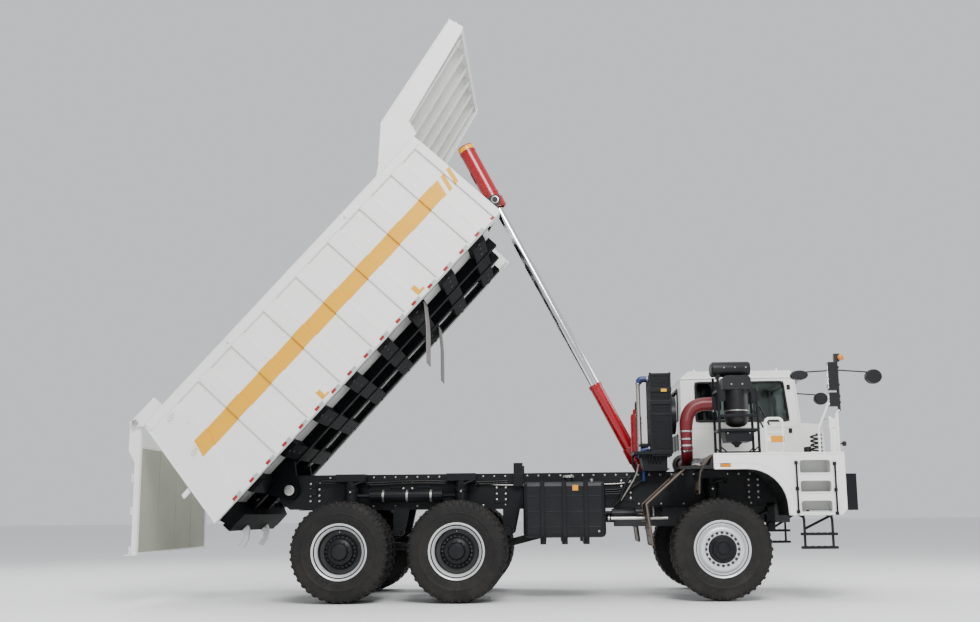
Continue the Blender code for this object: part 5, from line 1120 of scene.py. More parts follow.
# %% Struts, brake chambers and torque rods
suspension, fittings, hoses = bmesh.new(), bmesh.new(), bmesh.new()
for side in (LEFT, RIGHT):
    for x in (REAR_X, MIDDLE_X, 0.0):
        y = side * 0.700
        add_turned(suspension, [(1.12, 0.0925), (1.12, 0.102), (1.17, 0.104), (1.19, 0.0925)], (x, y, 0),
            (0, 0, 1), 28)
        add_turned(suspension, [(1.50, 0.0925), (1.50, 0.104), (1.55, 0.104), (1.56, 0.0925)], (x, y, 0),
            (0, 0, 1), 28)
        add_turned(fittings, [(0.93, 0.0625), (0.93, 0.066), (1.015, 0.066), (1.015, 0.0625)], (x, y, 0),
            (0, 0, 1), 24)
        add_rod(fittings, (x, side * 0.79, 1.50), (x, side * 0.825, 1.50), 0.016, 6, 0.002)
        line = [(x, side * 0.82, 1.58), (x + 0.05, side * 0.86, 1.60), (x + 0.16, side * 0.80, 1.64),
            (x + 0.22, side * 0.66, 1.62), (x + 0.24, side * 0.53, 1.58)]
        add_tube(hoses, smooth_path(line), 0.012, 8)
    for x in (REAR_X, MIDDLE_X):
        for dx in (0.14, -0.14):
            add_turned(suspension, [(0, 0), (0, 0.045), (0.02, 0.075), (0.09, 0.080), (0.10, 0.086),
                (0.12, 0.086), (0.13, 0.078), (0.19, 0.072), (0.21, 0.05), (0.21, 0)],
                (x + dx * 1.5, side * 0.45, 0.90), (math.copysign(1, dx), 0, 0.25), 24)
        add_rod(suspension, (x + 0.13, side * 0.60, 0.62), (x + 0.62, side * 0.52, 0.93), 0.036, 16, 0.005)
        for end in ((x + 0.13, side * 0.60, 0.62), (x + 0.62, side * 0.52, 0.93)):
            add_rod(suspension, (end[0], end[1] - 0.045, end[2]), (end[0], end[1] + 0.045, end[2]), 0.062,
                20, 0.008)
    low, high = REAR_X + 0.26, MIDDLE_X - 0.28
    for x in (low + 0.18, (low + high) / 2, high - 0.18):
        add_turned(fittings, collar(0.0835, 0.088, 0.030), (x, side * 0.62, 1.445), (1, 0, 0), 28)
    add_block(suspension, (-5.80, -5.69), sorted((side * 0.495, side * 0.535)), (1.46, 1.56))
    for k, z in enumerate((1.615, 1.645)):
        line = [(-5.69, side * (0.56 + 0.02 * k), z), (-5.5, side * (0.57 + 0.02 * k), z + 0.02),
            (-4.9, side * 0.545, z - 0.01), (-4.2, side * 0.56, z + 0.012),
            (-3.4, side * 0.545, z - 0.012), (-2.9, side * 0.55, z)]
        add_tube(hoses, smooth_path(line), 0.013, 8)
piece("suspension collars and chambers", suspension, PAINT["black_paint"], "chassis",
    bevel=0.002)
piece("suspension fittings", fittings, PAINT["zinc"], "chassis")
piece("suspension hoses", hoses, PAINT["black_hose"], "chassis")

# %% Differentials and propeller shaft joints
drive = bmesh.new()
for x in (REAR_X, MIDDLE_X):
    add_turned(drive, [(-0.13, 0.0), (-0.13, 0.12), (-0.10, 0.17), (-0.03, 0.215), (0.05, 0.225),
        (0.06, 0.235), (0.09, 0.235), (0.10, 0.19), (0.20, 0.11), (0.24, 0.08), (0.24, 0.0)],
        (x, 0, 0.70), (1, 0, 0.03), 32)
    add_turned(drive, [(0, 0), (0, 0.075), (0.02, 0.075), (0.02, 0.04), (0.07, 0.04), (0.07, 0.07),
        (0.09, 0.07), (0.09, 0)], (x + 0.25, 0, 0.706), (1, 0, 0.05), 24)
    for side in (LEFT, RIGHT):
        add_turned(drive, collar(0.10, 0.17, 0.03), (x, side * 0.80, 0.685), (0, side, 0), 32)
piece("axle housings", drive, PAINT["engine_grey"], "chassis", bevel=0.003)

# %% The fuel tank's straps and cap, and the battery box's lid
straps, cap, label = bmesh.new(), bmesh.new(), bmesh.new()
for x in (-2.40, -2.10, -1.80):
    for dx in (-0.030, 0.022):
        add_block(straps, (x + dx, x + dx + 0.008), (-1.278, -0.66), (1.617, 1.626))
        add_block(straps, (x + dx, x + dx + 0.008), (-1.280, -1.270), (0.84, 1.618))
    add_rod(straps, (x, -1.284, 0.80), (x, -1.284, 0.87), 0.010, 8, 0.002)
    add_turned(straps, [(0, 0), (0, 0.016), (0.012, 0.015), (0.012, 0)], (x, -1.262, 0.77), (0, -1, 0), 6)
for z in (0.99, 1.20, 1.41):
    add_tube(straps, [(-2.60, -1.261, z), (-1.60, -1.261, z)], 0.006, 8)
piece("fuel tank straps", straps, PAINT["black_paint"], "chassis", bevel=0.002)
add_turned(cap, [(0, 0), (0, 0.074), (0.030, 0.074), (0.036, 0.068), (0.036, 0)], (-2.03, -0.91, 1.668),
    (0, 0, 1), 28)
for i in range(12):
    a = math.pi * i / 6
    add_rod(cap, (-2.03 + 0.074 * math.cos(a), -0.91 + 0.074 * math.sin(a), 1.672),
        (-2.03 + 0.074 * math.cos(a), -0.91 + 0.074 * math.sin(a), 1.696), 0.006, 6)
add_rod(cap, (-1.70, -0.75, 1.60), (-1.70, -0.75, 1.655), 0.028, 16, 0.004)
add_turned(cap, [(0, 0), (0, 0.020), (0.008, 0.018), (0.016, 0.012), (0.016, 0)], (-1.63, -1.258, 0.93),
    (0, -1, 0), 8)
piece("fuel cap and sender", cap, PAINT["zinc"], "chassis", bevel=0.001)
add_block(label, (-1.985, -1.905), (-1.2625, -1.2602), (1.485, 1.560))
piece("tank blank label", label, PAINT["orange_plate"], "chassis")
lid = bmesh.new()
add_block(lid, (-2.675, -1.525), (0.60, 1.268), (1.560, 1.616))
for x in (-2.3, -1.9):
    add_tube(lid, smooth_path([(x - 0.06, 1.268, 1.44), (x - 0.06, 1.30, 1.44), (x + 0.06, 1.30, 1.44),
        (x + 0.06, 1.268, 1.44)], 4), 0.009, 8)
for z in (1.0, 1.22):
    add_tube(lid, [(-2.62, 1.262, z), (-1.58, 1.262, z)], 0.008, 8)
piece("battery box lid", lid, PAINT["black_paint"], "chassis", bevel=0.006)
print("tanks dressed")

# %% Side rod, air line and hydraulic pipes ahead of the tank
pipes, metal = bmesh.new(), bmesh.new()
add_rod(metal, (-1.50, -1.0, 1.10), (-0.66, -1.0, 1.10), 0.022, 14, 0.003)
for x in (-1.48, -0.95):
    add_block(pipes, (x - 0.03, x + 0.03), (-1.03, -0.50), (1.07, 1.13))
    add_turned(metal, collar(0.023, 0.036, 0.02), (x - 0.01, -1.0, 1.10), (1, 0, 0), 16)
add_tube(pipes, smooth_path([(-1.394, -0.60, 1.269), (-1.30, -0.60, 1.36), (-1.20, -0.58, 1.60),
    (-1.127, -0.56, 1.696)]), 0.020, 12)
add_turned(pipes, [(0, 0), (0, 0.07), (0.05, 0.075), (0.30, 0.075), (0.34, 0.06), (0.34, 0)],
    (-1.42, -0.61, 1.16), (1, 0, 0), 24)
for side in (LEFT, RIGHT):
    add_rod(pipes, (-1.10, side * 0.60, 1.18), (-0.70, side * 0.60, 1.18), 0.075, 24, 0.02)
    add_turned(metal, collar(0.076, 0.080, 0.02), (-0.98, side * 0.60, 1.18), (1, 0, 0), 24)
    add_turned(metal, collar(0.076, 0.080, 0.02), (-0.84, side * 0.60, 1.18), (1, 0, 0), 24)
for k in range(3):
    line = [(-1.52, -0.515 - 0.03 * k, 1.50 - 0.03 * k), (-1.25, -0.52 - 0.03 * k, 1.52 - 0.03 * k),
        (-0.98, -0.53 - 0.02 * k, 1.62), (-0.90, -0.52, 1.72)]
    add_tube(pipes, smooth_path(line), 0.011, 8)
piece("side pipes and air tanks", pipes, PAINT["black_paint"], "chassis")
piece("pipe clamps", metal, PAINT["zinc"], "chassis")
steel_line = bmesh.new()
for k in range(2):
    line = [(-3.2, -0.512 - 0.022 * k, 1.60), (-2.9, -0.520 - 0.022 * k, 1.585),
        (-1.6, -0.520 - 0.022 * k, 1.585), (-1.2, -0.53, 1.60), (-0.86, -0.40, 1.66)]
    add_tube(steel_line, smooth_path(line), 0.009, 8)
piece("hoist oil lines", steel_line, PAINT["steel"], "chassis")

# %% Front suspension arms and steering links
front = bmesh.new()
for side in (LEFT, RIGHT):
    add_rod(front, (0.05, side * 0.62, 0.62), (0.85, side * 0.48, 0.98), 0.034, 16, 0.004)
    add_rod(front, (0.05, side * 0.62, 0.86), (0.85, side * 0.48, 1.20), 0.030, 16, 0.004)
    for z in (0.98, 1.20):
        add_rod(front, (0.85, side * 0.42, z), (0.85, side * 0.54, z), 0.055, 18, 0.006)
    add_block(front, (0.79, 0.91), sorted((side * 0.40, side * 0.50)), (0.90, 1.30))
    add_turned(front, [(0, 0), (0, 0.05), (0.02, 0.085), (0.12, 0.09), (0.14, 0.06), (0.14, 0)],
        (-0.14, side * 0.80, 0.92), (-1, 0, 0), 22)
piece("front suspension links", front, PAINT["black_paint"], "chassis", bevel=0.002)
print("frame dressed")

# %% Mudguard edges and rubber aprons
guard, aprons = bmesh.new(), {LEFT: bmesh.new(), RIGHT: bmesh.new()}
for side in (LEFT, RIGHT):
    y = sorted((side * 0.87, side * 1.56))
    for edge_y in y:
        line = [(-0.46, edge_y, 1.768), (-1.00, edge_y, 1.29), (-0.93, edge_y, 0.74)]
        for a, b in zip(line, line[1:]):
            add_tube(guard, [a, b], 0.012, 8)
    add_tube(guard, [(-0.93, y[0], 0.74), (-0.93, y[1], 0.74)], 0.012, 8)
    for k in range(4):
        z = 0.86 + 0.10 * k
        add_tube(guard, [(-0.945 - 0.09 * k * 0.42, y[0] + 0.06, z),
            (-0.945 - 0.09 * k * 0.42, y[1] - 0.06, z)], 0.008, 6)
    line = smooth_path([(-0.092, 0, 1.935), (-0.17, 0, 1.85), (-0.245, 0, 1.74), (-0.280, 0, 1.60),
        (-0.288, 0, 1.417)], 8)
    section = [(p.x, p.z) for p in line] + [(p.x - 0.006, p.z - 0.001) for p in reversed(line)]
    add_outline(aprons[side], section, *sorted((side * 1.15, side * 1.612)))
    strip = [(-0.083, 1.945), (-0.083, 1.905), (-0.093, 1.905), (-0.093, 1.945)]
    add_outline(guard, strip, *sorted((side * 1.14, side * 1.615)))
piece("mudguard rolled edges", guard, PAINT["brown_rubber"], "chassis")
for side, shape in aprons.items():
    made = piece(f"{SIDES[side]} rubber apron", shape, PAINT["brown_rubber"], "chassis")
apron_bolts = bolt_row((-0.088, 1.18, 1.925), (0, 0.07, 0), 7, 0.016, 0.008, (-1, 0, 0))
add_shape(apron_bolts, bolt_row((-0.088, -1.60, 1.925), (0, 0.07, 0), 7, 0.016, 0.008, (-1, 0, 0)))
piece("apron bolts", apron_bolts, PAINT["zinc"], "chassis")

# %% [markdown]
# ## The cab
# The cab stands to the left of the middle. Rubber seals frame its panes, a gutter runs round the
# roof, and the nose carries wipers, lamps and a grille. The door has a handle and seals.

# %% Seals round the panes
CAB_R, CAB_L = -0.250, 1.600


def frame_of(shape, corners, radius, rounding=0.05):
    """A rubber bead round a pane given by its corners."""
    line = []
    n = len(corners)
    for i in range(n):
        before, here, after = (Vector(corners[(i + k) % n]) for k in (-1, 0, 1))
        a, b = here + (before - here).normalized() * rounding, here + (after - here).normalized() * rounding
        for t in (0, 0.25, 0.5, 0.75, 1):
            line.append((1 - t) ** 2 * a + 2 * t * (1 - t) * here + t ** 2 * b)
    add_tube(shape, line + [line[0], line[1]], radius, 8)


seals = bmesh.new()
frame_of(seals, [(-0.12, CAB_R - 0.003, 2.49), (1.225, CAB_R - 0.003, 2.49), (1.16, CAB_R - 0.003, 3.06),
    (-0.12, CAB_R - 0.003, 3.06)], 0.018)
frame_of(seals, [(-0.343, 0.16, 2.54), (-0.343, 1.19, 2.54), (-0.343, 1.19, 3.01), (-0.343, 0.16, 3.01)],
    0.016)
lean = 0.06 / (3.23 - 0.06 - 2.43 - 0.02)
frame_of(seals, [(1.392 - lean * 0.08, -0.12, 2.50), (1.392 - lean * 0.08, 1.47, 2.50),
    (1.392 - lean * 0.66, 1.47, 3.08), (1.392 - lean * 0.66, -0.12, 3.08)], 0.018)
add_block(seals, (0.52, 0.545), (CAB_R - 0.006, CAB_R + 0.040), (2.49, 3.06))
piece("cab window seals", seals, PAINT["black_hose"], "chassis", bevel=0.002)

# %% Gutter, seams, visor and roof fittings
roof, dark = bmesh.new(), bmesh.new()
for y in (CAB_R - 0.004, CAB_L + 0.004):
    add_tube(roof, [(-0.33, y, 3.112), (-0.22, y, 3.125), (1.25, y, 3.125), (1.325, y, 3.10)], 0.012, 8)
    add_tube(roof, [(-0.34, y, 2.400), (1.40, y, 2.400)], 0.006, 6)
    add_tube(roof, [(-0.337, y, 1.99), (-0.337, y, 3.10)], 0.010, 8)
    add_tube(roof, [(1.385, y, 2.46), (1.322, y, 3.12)], 0.012, 8)
add_tube(roof, [(-0.335, CAB_R, 3.118), (-0.335, CAB_L, 3.118)], 0.012, 8)
add_outline(roof, [(1.27, 3.165), (1.345, 3.13), (1.51, 3.095), (1.515, 3.110), (1.36, 3.165),
    (1.27, 3.215)], CAB_R + 0.08, CAB_L - 0.08)
for y in (0.05, 0.60, 1.15):
    add_block(roof, (-0.10, 1.15), (y - 0.035, y + 0.035), (3.228, 3.242))
for x in (-0.12, 1.10):
    add_turned(roof, [(0, 0), (0, 0.030), (0.010, 0.028), (0.016, 0.014), (0.040, 0.012), (0.044, 0.0)],
        (x, CAB_R + 0.10, 3.229), (0, 0, 1), 16)
add_block(roof, (0.10, 0.70), (0.40, 0.95), (3.232, 3.285))
piece("cab roof and gutters", roof, PAINT["white_paint"], "chassis", bevel=0.006)
for y in (0.02, 1.33):
    add_rod(dark, (1.405, y + 0.08, 2.47), (1.372, y + 0.10, 2.80), 0.009, 8)
    add_block(dark, (1.352, 1.378), (y + 0.08, y + 0.115), (2.56, 3.00))
    add_rod(dark, (1.41, y + 0.08, 2.45), (1.41, y + 0.08, 2.49), 0.022, 16, 0.004)
for z in (2.12, 2.18, 2.24, 2.30, 2.36):
    add_block(dark, (1.724, 1.738), (0.15, 1.15), (z - 0.018, z + 0.018))
for x in (0.0, 0.42):
    add_block(dark, (-0.353, -0.341), (0.25 + x, 0.55 + x), (2.10, 2.34))
for z in (2.34, 2.98):
    add_block(dark, (1.215, 1.265), (CAB_R - 0.016, CAB_R - 0.002), (z - 0.035, z + 0.035))
piece("wipers vents and hinges", dark, PAINT["black_plastic"], "chassis", bevel=0.003)

# %% Head lamps and indicator lamps
lamps, lenses, amber = bmesh.new(), bmesh.new(), bmesh.new()
for side in (LEFT, RIGHT):
    y = side * 1.28
    add_block(lamps, (1.655, 1.672), sorted((side * 1.08, side * 1.50)), (1.70, 1.90))
    for k in range(2):
        cy = side * (1.18 + 0.20 * k)
        add_turned(lamps, [(0, 0.060), (0, 0.090), (0.016, 0.090), (0.022, 0.082), (0.022, 0.074),
            (0.006, 0.060)], (1.672, cy, 1.80), (1, 0, 0), 32)
        add_turned(lenses, [(0.000, 0.073), (0.010, 0.072), (0.017, 0.055), (0.020, 0.0)],
            (1.674, cy, 1.80), (1, 0, 0), 32)
    add_block(lamps, (0.005, 0.141), sorted((side * 1.620, side * 1.630)), (1.762, 1.821))
    add_block(amber, (0.013, 0.133), sorted((side * 1.628, side * 1.640)), (1.770, 1.813))
    add_block(lamps, (1.820, 1.829), sorted((side * 1.16, side * 1.46)), (1.37, 1.52))
    add_block(amber, (1.827, 1.836), sorted((side * 1.32, side * 1.44)), (1.39, 1.50))
    add_block(lenses, (1.827, 1.836), sorted((side * 1.18, side * 1.30)), (1.39, 1.50))
piece("head lamp housings", lamps, PAINT["black_plastic"], "chassis", bevel=0.005)
piece("head lamp glasses", lenses, PAINT["lamp_glass"], "chassis", bevel=0.003)
piece("amber lenses", amber, PAINT["amber_lens"], "chassis", bevel=0.004)
bulbs = bmesh.new()
for side in (LEFT, RIGHT):
    for k in range(2):
        add_turned(bulbs, [(0.000, 0.0), (0.0, 0.058), (0.004, 0.058), (0.002, 0.020), (0.010, 0.016),
            (0.010, 0.0)], (1.6725, side * (1.18 + 0.20 * k), 1.80), (1, 0, 0), 28)
piece("head lamp reflectors", bulbs, PAINT["mirror_face"], "chassis")

# %% The door's handle, seal and window bead
door, handle = bmesh.new(), bmesh.new()
frame_of(door, [(0.349, CAB_L + 0.002, 2.49), (1.05, CAB_L + 0.002, 2.49), (1.05, CAB_L + 0.002, 2.985),
    (0.349, CAB_L + 0.002, 2.985)], 0.015)
piece("door window bead", door, PAINT["black_hose"], "cab_door")
add_block(handle, (0.30, 0.44), (CAB_L + 0.0005, CAB_L + 0.010), (2.34, 2.40))
add_tube(handle, smooth_path([(0.315, CAB_L + 0.008, 2.37), (0.325, CAB_L + 0.036, 2.37),
    (0.42, CAB_L + 0.036, 2.37), (0.43, CAB_L + 0.008, 2.37)], 5), 0.009, 10)
add_turned(handle, [(0, 0), (0, 0.012), (0.006, 0.012), (0.006, 0)], (0.47, CAB_L + 0.001, 2.37),
    (0, 1, 0), 20)
piece("door handle", handle, PAINT["black_plastic"], "cab_door", bevel=0.002)
press = bmesh.new()
for z0, z1 in ((2.06, 2.13), (2.16, 2.30)):
    add_block(press, (0.32, 1.08), (CAB_L - 0.002, CAB_L + 0.006), (z0, z1))
for x in (0.262, 1.137):
    add_tube(press, [(x, CAB_L + 0.0005, 2.055), (x, CAB_L + 0.0005, 3.06)], 0.005, 6)
piece("door pressings", press, PAINT["white_paint"], "cab_door", bevel=0.004)
card = bmesh.new()
add_block(card, (0.30, 1.10), (CAB_L - 0.078, CAB_L - 0.061), (2.07, 2.44))
add_block(card, (0.42, 0.86), (CAB_L - 0.115, CAB_L - 0.076), (2.28, 2.33))
piece("door inner card", card, PAINT["black_plastic"], "cab_door", bevel=0.006)
print("cab dressed")

# %% [markdown]
# ### Inside the cab
# Through the panes one sees the driver's seat, the wheel, a second seat and trim. The seat keeps its
# pedestal but gets quilted cushions and a headrest.

# %% Seats
def cushion(name, size, centre, tilt=0.0):
    """A soft upholstered block with a piped seam, shaped by subdivision and a quilt of grooves."""
    shape = bmesh.new()
    bmesh.ops.create_cube(shape, size=1.0)
    bmesh.ops.subdivide_edges(shape, edges=shape.edges, cuts=9, use_grid_fill=True)
    for v in shape.verts:
        p = v.co * 2
        q = Vector(p)
        for i in range(3):
            q[i] = p[i] * math.sqrt(max(0.0, 1 - 0.42 * ((p[(i + 1) % 3] ** 4 + p[(i + 2) % 3] ** 4) / 2)))
        crown = (1 - p.x ** 2) * (1 - p.y ** 2)
        v.co = Vector((q.x * size[0] / 2, q.y * size[1] / 2, q.z * size[2] / 2 * (1 + 0.16 * crown)))
        v.co.z -= 0.008 * math.exp(-((abs(p.y) - 0.52) * 14) ** 2) * (1 if p.z > 0 else 0)
    place = TRUCK @ Matrix.Translation(centre) @ Matrix.Rotation(math.radians(tilt), 4, "Y")
    made = piece(name, shape, PAINT["seat_cloth"], "chassis", place, angle=60)
    soft = made.modifiers.new("Soft", "SUBSURF")
    soft.levels = soft.render_levels = 1
    return baked(made)


FLOOR = 2.0103
for name, y in (("driver", 1.02), ("passenger", 0.25)):
    cushion(f"{name} cushion", (0.54, 0.50, 0.17), (0.38, y, FLOOR + 0.355))
    cushion(f"{name} backrest", (0.16, 0.48, 0.66), (0.135, y, FLOOR + 0.72), -8)
    cushion(f"{name} headrest", (0.10, 0.28, 0.18), (0.045, y, FLOOR + 1.06), -8)
    frame_bits = bmesh.new()
    for dy in (-0.07, 0.07):
        add_rod(frame_bits, (0.070, y + dy, FLOOR + 0.93), (0.052, y + dy, FLOOR + 1.02), 0.008, 10)
    if name == "passenger":
        add_block(frame_bits, (0.20, 0.55), (y - 0.18, y + 0.18), (FLOOR + 0.001, FLOOR + 0.27))
    add_block(frame_bits, (0.10, 0.66), (y - 0.215, y - 0.195), (FLOOR + 0.245, FLOOR + 0.270))
    add_block(frame_bits, (0.10, 0.66), (y + 0.195, y + 0.215), (FLOOR + 0.245, FLOOR + 0.270))
    piece(f"{name} seat frame", frame_bits, PAINT["black_plastic"], "chassis", bevel=0.004)
print("two seats")

# %% Dashboard instruments and trim
dash = bmesh.new()
add_outline(dash, [(1.00, 2.465), (1.16, 2.475), (1.25, 2.53), (1.13, 2.57), (1.03, 2.56)], 0.78, 1.28)
for k in range(6):
    add_block(dash, (0.975, 0.985), (-0.02 + 0.11 * k, 0.05 + 0.11 * k), (2.30, 2.34))
add_tube(dash, smooth_path([(0.80, 0.62, 2.02), (0.79, 0.62, 2.20), (0.76, 0.61, 2.36)], 5), 0.010, 10)
add_turned(dash, [(0, 0), (0.005, 0.020), (0.03, 0.026), (0.05, 0.018), (0.054, 0)], (0.76, 0.61, 2.34),
    (0, 0, 1), 20)
add_block(dash, (-0.27, 1.10), (-0.186, -0.176), (2.02, 2.46))
add_block(dash, (-0.278, -0.268), (-0.17, 1.52), (2.02, 2.52))
piece("dashboard binnacle and trim", dash, PAINT["black_plastic"], "chassis", bevel=0.004)
clocks = bmesh.new()
for y in (0.92, 1.03, 1.14):
    add_turned(clocks, [(0, 0), (0, 0.040), (0.004, 0.040), (0.006, 0.034), (0.006, 0)],
        (1.022, y, 2.515), (-0.97, 0, 0.2), 24)
piece("dashboard clocks", clocks, PAINT["mirror_face"], "chassis")
# %% [markdown]
# ## Decks and what stands on them
# The right deck carries the air cleaner, a hoop and the mirror frame. Behind the cab stand the
# radiator with its blue hoses and a red oil tank. Rounded deck edges, step treads, and handrails are
# the climbing way up.

# %% Deck lips, tread plates and handrails
lips, tread, rails = bmesh.new(), bmesh.new(), bmesh.new()
for side in (LEFT, RIGHT):
    y = side * 1.622
    edge = [(0.375 + 0.524 * math.cos(a),
        1.222 + 0.533 * math.sin(a)) for a in [math.radians(90 - 10 * k) for k in range(10)]]
    line = [(-0.075, y, 1.757)] + [(x, y, z) for x, z in edge] + [(0.905, y, 1.130)]
    add_tube(lips, line, 0.016, 8)
    outer = [(0.375 + 0.60 * math.cos(a),
        1.222 + 0.605 * math.sin(a)) for a in [math.radians(90 - 10 * k) for k in range(9)]]
    add_tube(lips, [(-0.075, side * 1.6205, 1.828)] + [(x, side * 1.6205, z) for x, z in outer], 0.007, 6)
    add_tube(lips, [(-0.078, side * 1.615, 1.945), (1.655, side * 1.615, 1.945)], 0.014, 10)
    add_tube(lips, [(1.657, side * 1.615, 1.945), (1.657, side * 1.615, 1.20),
        (1.60, side * 1.615, 1.128), (0.95, side * 1.615, 1.128)], 0.008, 8)
    add_tube(lips, [(0.98, side * 1.6205, 1.690), (1.04, side * 1.6205, 1.690)], 0.006, 6)
    for low, high in ((1.154, 1.320), (1.417, 1.584), (1.669, 1.860)):
        frame_line = [(1.050, side * 1.621, low), (1.475, side * 1.621, low), (1.475, side * 1.621, high),
            (1.050, side * 1.621, high)]
        frame_of(lips, frame_line, 0.010, 0.05)
        for cx, cz in ((1.050, low), (1.475, low), (1.475, high), (1.050, high)):
            sx, sz = (1 if cx < 1.2 else -1), (1 if cz == low else -1)
            arc = [(cx + sx * 0.055 * (1 - math.sin(a)),
                cz + sz * 0.055 * (1 - math.cos(a))) for a in [math.radians(15 * k) for k in range(7)]]
            add_outline(lips, [(cx, cz)] + arc, *sorted((side * 1.56, side * 1.6205)))
        add_block(tread, (1.055, 1.470), sorted((side * 1.38, side * 1.612)), (low + 0.0005, low + 0.008))
        for k in range(5):
            add_block(tread, (1.065, 1.460), sorted((side * (1.42 + 0.04 * k), side * (1.43 + 0.04 * k))),
                (low + 0.006, low + 0.016))
    for x, low, high in ((1.010, 1.167, 1.819), (1.520, 1.144, 1.804)):
        path = [(x, side * 1.622, low), (x, side * 1.655, low + 0.02),
            (x, side * 1.655, (low + high) / 2), (x, side * 1.655, high - 0.02), (x, side * 1.622, high)]
        add_tube(rails, smooth_path(path, 6), 0.013, 10)
        for z in (low, (low + high) / 2 - 0.02, high):
            add_block(rails, (x - 0.022, x + 0.022), sorted((side * 1.620, side * 1.650)),
                (z - 0.022, z + 0.022))
piece("deck rolled lips", lips, PAINT["white_paint"], "chassis")
piece("step treads", tread, PAINT["white_paint"], "chassis", bevel=0.001)
piece("deck handrails", rails, PAINT["black_paint"], "chassis", bevel=0.002)
mat = bmesh.new()
add_block(mat, (0.66, 1.64), (-1.60, -0.30), (1.9502, 1.9575))
piece("deck tread mat", mat, PAINT["steel"], "chassis", bevel=0.001)
seed = bmesh.new()
for k in range(20):
    add_block(seed, (0.675, 0.70), (-1.585 + 0.064 * k, -1.578 + 0.064 * k), (1.957, 1.961))
piece("deck tread ridges", repeated(seed, ROW, 19, (0.05, 0, 0)), PAINT["steel"], "chassis")

# %% Hanging step rungs and brackets
step = bmesh.new()
for side in (LEFT, RIGHT):
    for z in (0.697, 0.874):
        for x in (1.10, 1.18, 1.26, 1.34, 1.42):
            add_block(step, (x, x + 0.030), sorted((side * 1.505, side * 1.628)), (z + 0.013, z + 0.022))
    for x in (1.085, 1.455):
        add_outline(step, [(side * 1.612, 1.18), (side * 1.612, 1.06), (side * 1.48, 1.13),
            (side * 1.48, 1.18)], x - 0.006, x + 0.006, along="X")
    add_rod(step, (1.18, side * 1.10, 0.93), (1.60, side * 1.30, 1.16), 0.018, 12)
piece("hanging step details", step, PAINT["black_paint"], "chassis", bevel=0.002)

# %% Bumper cover
bar = bmesh.new()
add_outline(bar, [(1.825, -1.40), (1.825, 1.40), (1.817, 1.42), (1.817, -1.42)], 1.20, 1.30, along="Z")
for z in (1.40, 1.46, 1.52, 1.58, 1.64):
    add_block(bar, (1.815, 1.829), (-0.70, 0.70), (z - 0.012, z + 0.012))
for y in (-0.95, 0.95):
    add_turned(bar, [(0, 0.028), (0, 0.055), (0.05, 0.055), (0.06, 0.045), (0.06, 0.028)],
        (1.81, y, 1.28), (1, 0, 0), 28)
piece("bumper cover and tow eyes", bar, PAINT["black_plastic"], "chassis", bevel=0.004)
print("decks dressed")

# %% The intake hose with its clamps
HOSE_Y = -1.18
path = [(0.027, HOSE_Y, 2.66), (-0.06, HOSE_Y, 2.662), (-0.17, HOSE_Y, 2.655), (-0.275, HOSE_Y, 2.615),
    (-0.345, HOSE_Y, 2.53), (-0.378, HOSE_Y, 2.42), (-0.385, HOSE_Y, 2.30), (-0.385, HOSE_Y, 2.14),
    (-0.382, HOSE_Y + 0.02, 2.03), (-0.372, -1.06, 1.935), (-0.362, -0.92, 1.897), (-0.358, -0.76, 1.865),
    (-0.355, -0.58, 1.855), (-0.355, -0.348, 1.855)]
hose = bmesh.new()
line = smooth_path(path, 8)
add_tube(hose, line, lambda s: 0.093 - 0.012 * min(1, max(0, (s - 0.40) / 0.12)), 28)
for k in range(3, 40, 2):
    at, ahead = line[k], (line[k + 1] - line[k]).normalized()
    add_turned(hose, [(-0.006, 0.092), (0, 0.0955), (0.006, 0.092)], at, ahead, 28)
made = piece("intake hose", hose, PAINT["red_silicone"], "chassis", angle=60)
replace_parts(made, "intake_hose")
clamps = bmesh.new()
for k in (2, 44, 49, 54, 59, 63):
    at, ahead = line[k], (line[k + 1] - line[k]).normalized()
    r = 0.0945 if k < 44 else 0.0850
    add_turned(clamps, [(-0.011, r), (-0.011, r + 0.004), (0.011, r + 0.004), (0.011, r)], at, ahead, 36)
    over = ahead.cross(Vector((0, 1, 0))).normalized()
    spot = at + over * (r + 0.008)
    add_rod(clamps, spot - Vector((0, 0.022, 0)), spot + Vector((0, 0.022, 0)), 0.008, 8, 0.002)
piece("hose clamps", clamps, PAINT["chrome"], "chassis")
print("intake hose of", len(line), "rings")

# %% The air cleaner
air, drum, grille, bits, cone = bmesh.new(), bmesh.new(), bmesh.new(), bmesh.new(), bmesh.new()
for y in (HOSE_Y - 0.235, HOSE_Y + 0.235):
    add_tube(air, [(0.045, y, 1.951), (0.045, y, 3.05)], 0.019, 12)
    add_tube(air, [(0.575, y, 1.951), (0.572, y, 2.50), (0.560, y, 2.85)], 0.019, 12)
    for z in (1.972, 2.285, 2.480):
        add_block(air, (0.045, 0.575), (y - 0.012, y + 0.012), (z - 0.018, z + 0.018))
    add_rod(air, (0.600, y, 2.60), (0.725, y, 2.34), 0.013, 10)
    add_rod(air, (0.14, y, 1.975), (0.045, y, 2.06), 0.010, 8)
    add_rod(air, (0.48, y, 1.975), (0.575, y, 2.06), 0.010, 8)
    for x0, x1 in ((0.030, 0.140), (0.490, 0.595)):
        add_outline(air, [(x0, 2.66), (x1, 2.68), (x1, 2.80), ((x0 + x1) / 2, 2.835), (x0, 2.82)],
            y - 0.012, y + 0.012)
for x in (0.045, 0.575):
    for z in (1.972, 2.285, 2.830):
        add_block(air, (x - 0.012, x + 0.012), (HOSE_Y - 0.235, HOSE_Y + 0.235), (z - 0.018, z + 0.018))
add_outline(air, [(0.115, 2.275), (0.505, 2.275), (0.480, 2.125), (0.140, 2.125)], HOSE_Y - 0.200,
    HOSE_Y + 0.200)
